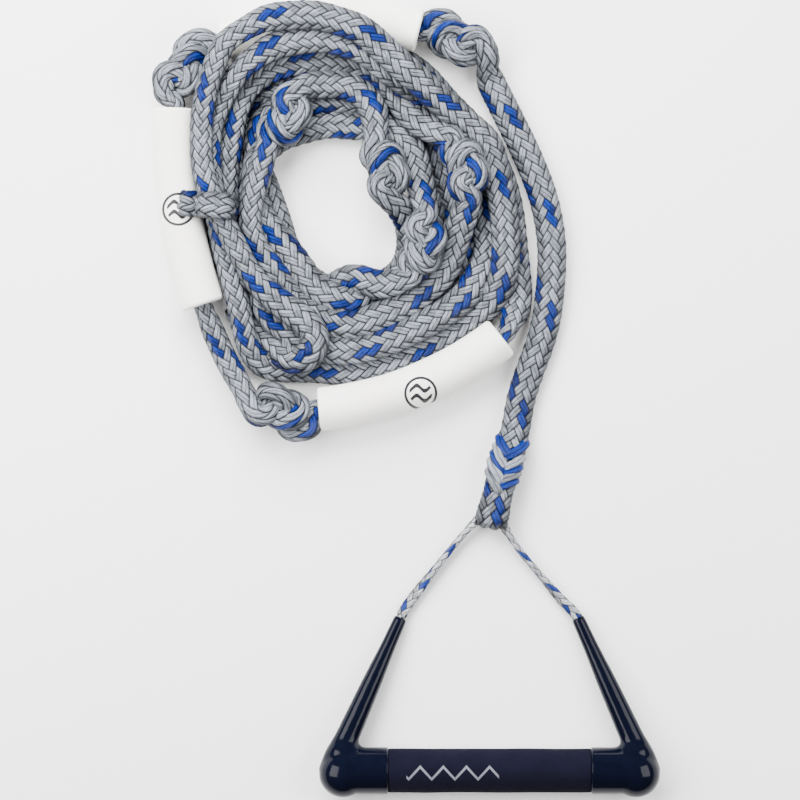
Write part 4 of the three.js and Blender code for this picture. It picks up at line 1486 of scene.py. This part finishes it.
# %% Parts inside the handle
INNER = {
    "bar_tube": ("brushed aluminium", (0.50, 0.51, 0.53, 1), (0.62, 0.63, 0.65, 1), 1.0, 0.35),
    "bar_plug": ("plug foam", (0.030, 0.030, 0.032, 1), (0.055, 0.055, 0.058, 1), 0.0, 0.85),
    "knot_washer": ("washer steel", (0.52, 0.53, 0.54, 1), (0.66, 0.67, 0.68, 1), 1.0, 0.3),
    "stopper_knot": ("knot fibre", (0.22, 0.22, 0.23, 1), (0.52, 0.52, 0.54, 1), 0.0, 0.6),
}
for key, (title, low, high, metal, rough) in INNER.items():
    finish, tree, shader = new_material(title, Metallic=metal, Roughness=rough)
    stretch_map = tree.nodes.new("ShaderNodeMapping")
    stretch_map.inputs["Scale"].default_value = (1, 12, 12)
    tree.links.new(object_place(tree), stretch_map.inputs[0])
    brushed = noise(tree, stretch_map.outputs[0], 300.0, 3.0)
    tree.links.new(mix_colour(tree, brushed, low, high), shader["Base Color"])
    bump(tree, brushed, 0.3, 0.0002, shader["Normal"])
    for word in ("", "left_", "right_"):
        node = frame["nodes"].get(word + key)
        if node:
            node.data.materials.clear()
            node.data.materials.append(finish)
print("materials", len(bpy.data.materials))

# %% [markdown]
# ## Floor and light
# The floor is plain and pale. Two softboxes stand left and right of the handle, halfway up, so that each
# round corner mirrors one of them and each arm carries a long thin highlight. A third stands beyond the
# coil and shapes the strands that run across. A weak even sky fills the gaps.

# %% Floor
FLOOR_HALF = 4.0
FLOOR_DROP = -0.05  # just below the object, so that the two surfaces don't share a plane
corners = [(x * FLOOR_HALF, y * FLOOR_HALF) for x, y in ((-1, -1), (1, -1), (1, 1), (-1, 1))]
floor_spots = [(x * 1000, y * 1000, FLOOR_DROP) for x, y in corners]
floor = new_piece("floor", floor_spots, [(0, 1, 2, 3)])
floor_finish, tree, shader = new_material("floor", Roughness=0.8, Specular_IOR_Level=0.1)
tint = noise(tree, object_place(tree), 3.0)
tree.links.new(mix_colour(tree, tint, (0.90, 0.90, 0.90, 1), (0.92, 0.92, 0.92, 1)), shader["Base Color"])
floor.data.materials.append(floor_finish)
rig.stage(floor)

# %% Lights
SOFTBOX = (0.95, 0.8)
SOFTBOX_AWAY = 1.15
LIGHTS = {
    # name: the way it stands from the handle, its power, and whether glossy surfaces mirror it
    "left softbox": ((-0.73, 0.12, 0.68), 29.0, True),
    "right softbox": ((0.73, 0.12, 0.68), 22.0, True),
    "back softbox": ((-0.25, 0.80, 0.62), 52.0, False),
}
for title, (towards, power, mirrored) in LIGHTS.items():
    data = bpy.data.lights.new(title, "AREA")
    data.shape, data.size, data.size_y = "RECTANGLE", *SOFTBOX
    data.energy = power
    lamp = bpy.data.objects.new(title, data)
    lamp.visible_glossy = mirrored
    towards = Vector(towards)
    lamp.location = Vector((0, 0.1, 0)) + towards * SOFTBOX_AWAY
    lamp.rotation_euler = towards.to_track_quat("Z", "Y").to_euler()
    bpy.context.scene.collection.objects.link(lamp)

SKY = 0.27
world = bpy.data.worlds.new("sky")
world.use_nodes = True
world.node_tree.nodes["Background"].inputs["Color"].default_value = (1, 1, 1, 1)
world.node_tree.nodes["Background"].inputs["Strength"].default_value = SKY
bpy.context.scene.world = world

# %% Size and finish
visual_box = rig.bounds()
with open("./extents.json", "w") as out:
    boxes = {"cad": cad_box, "visual": visual_box}
    json.dump({name: [list(corner) for corner in box] for name, box in boxes.items()}, out)
print("visual box", [[round(c, 4) for c in corner] for corner in visual_box])
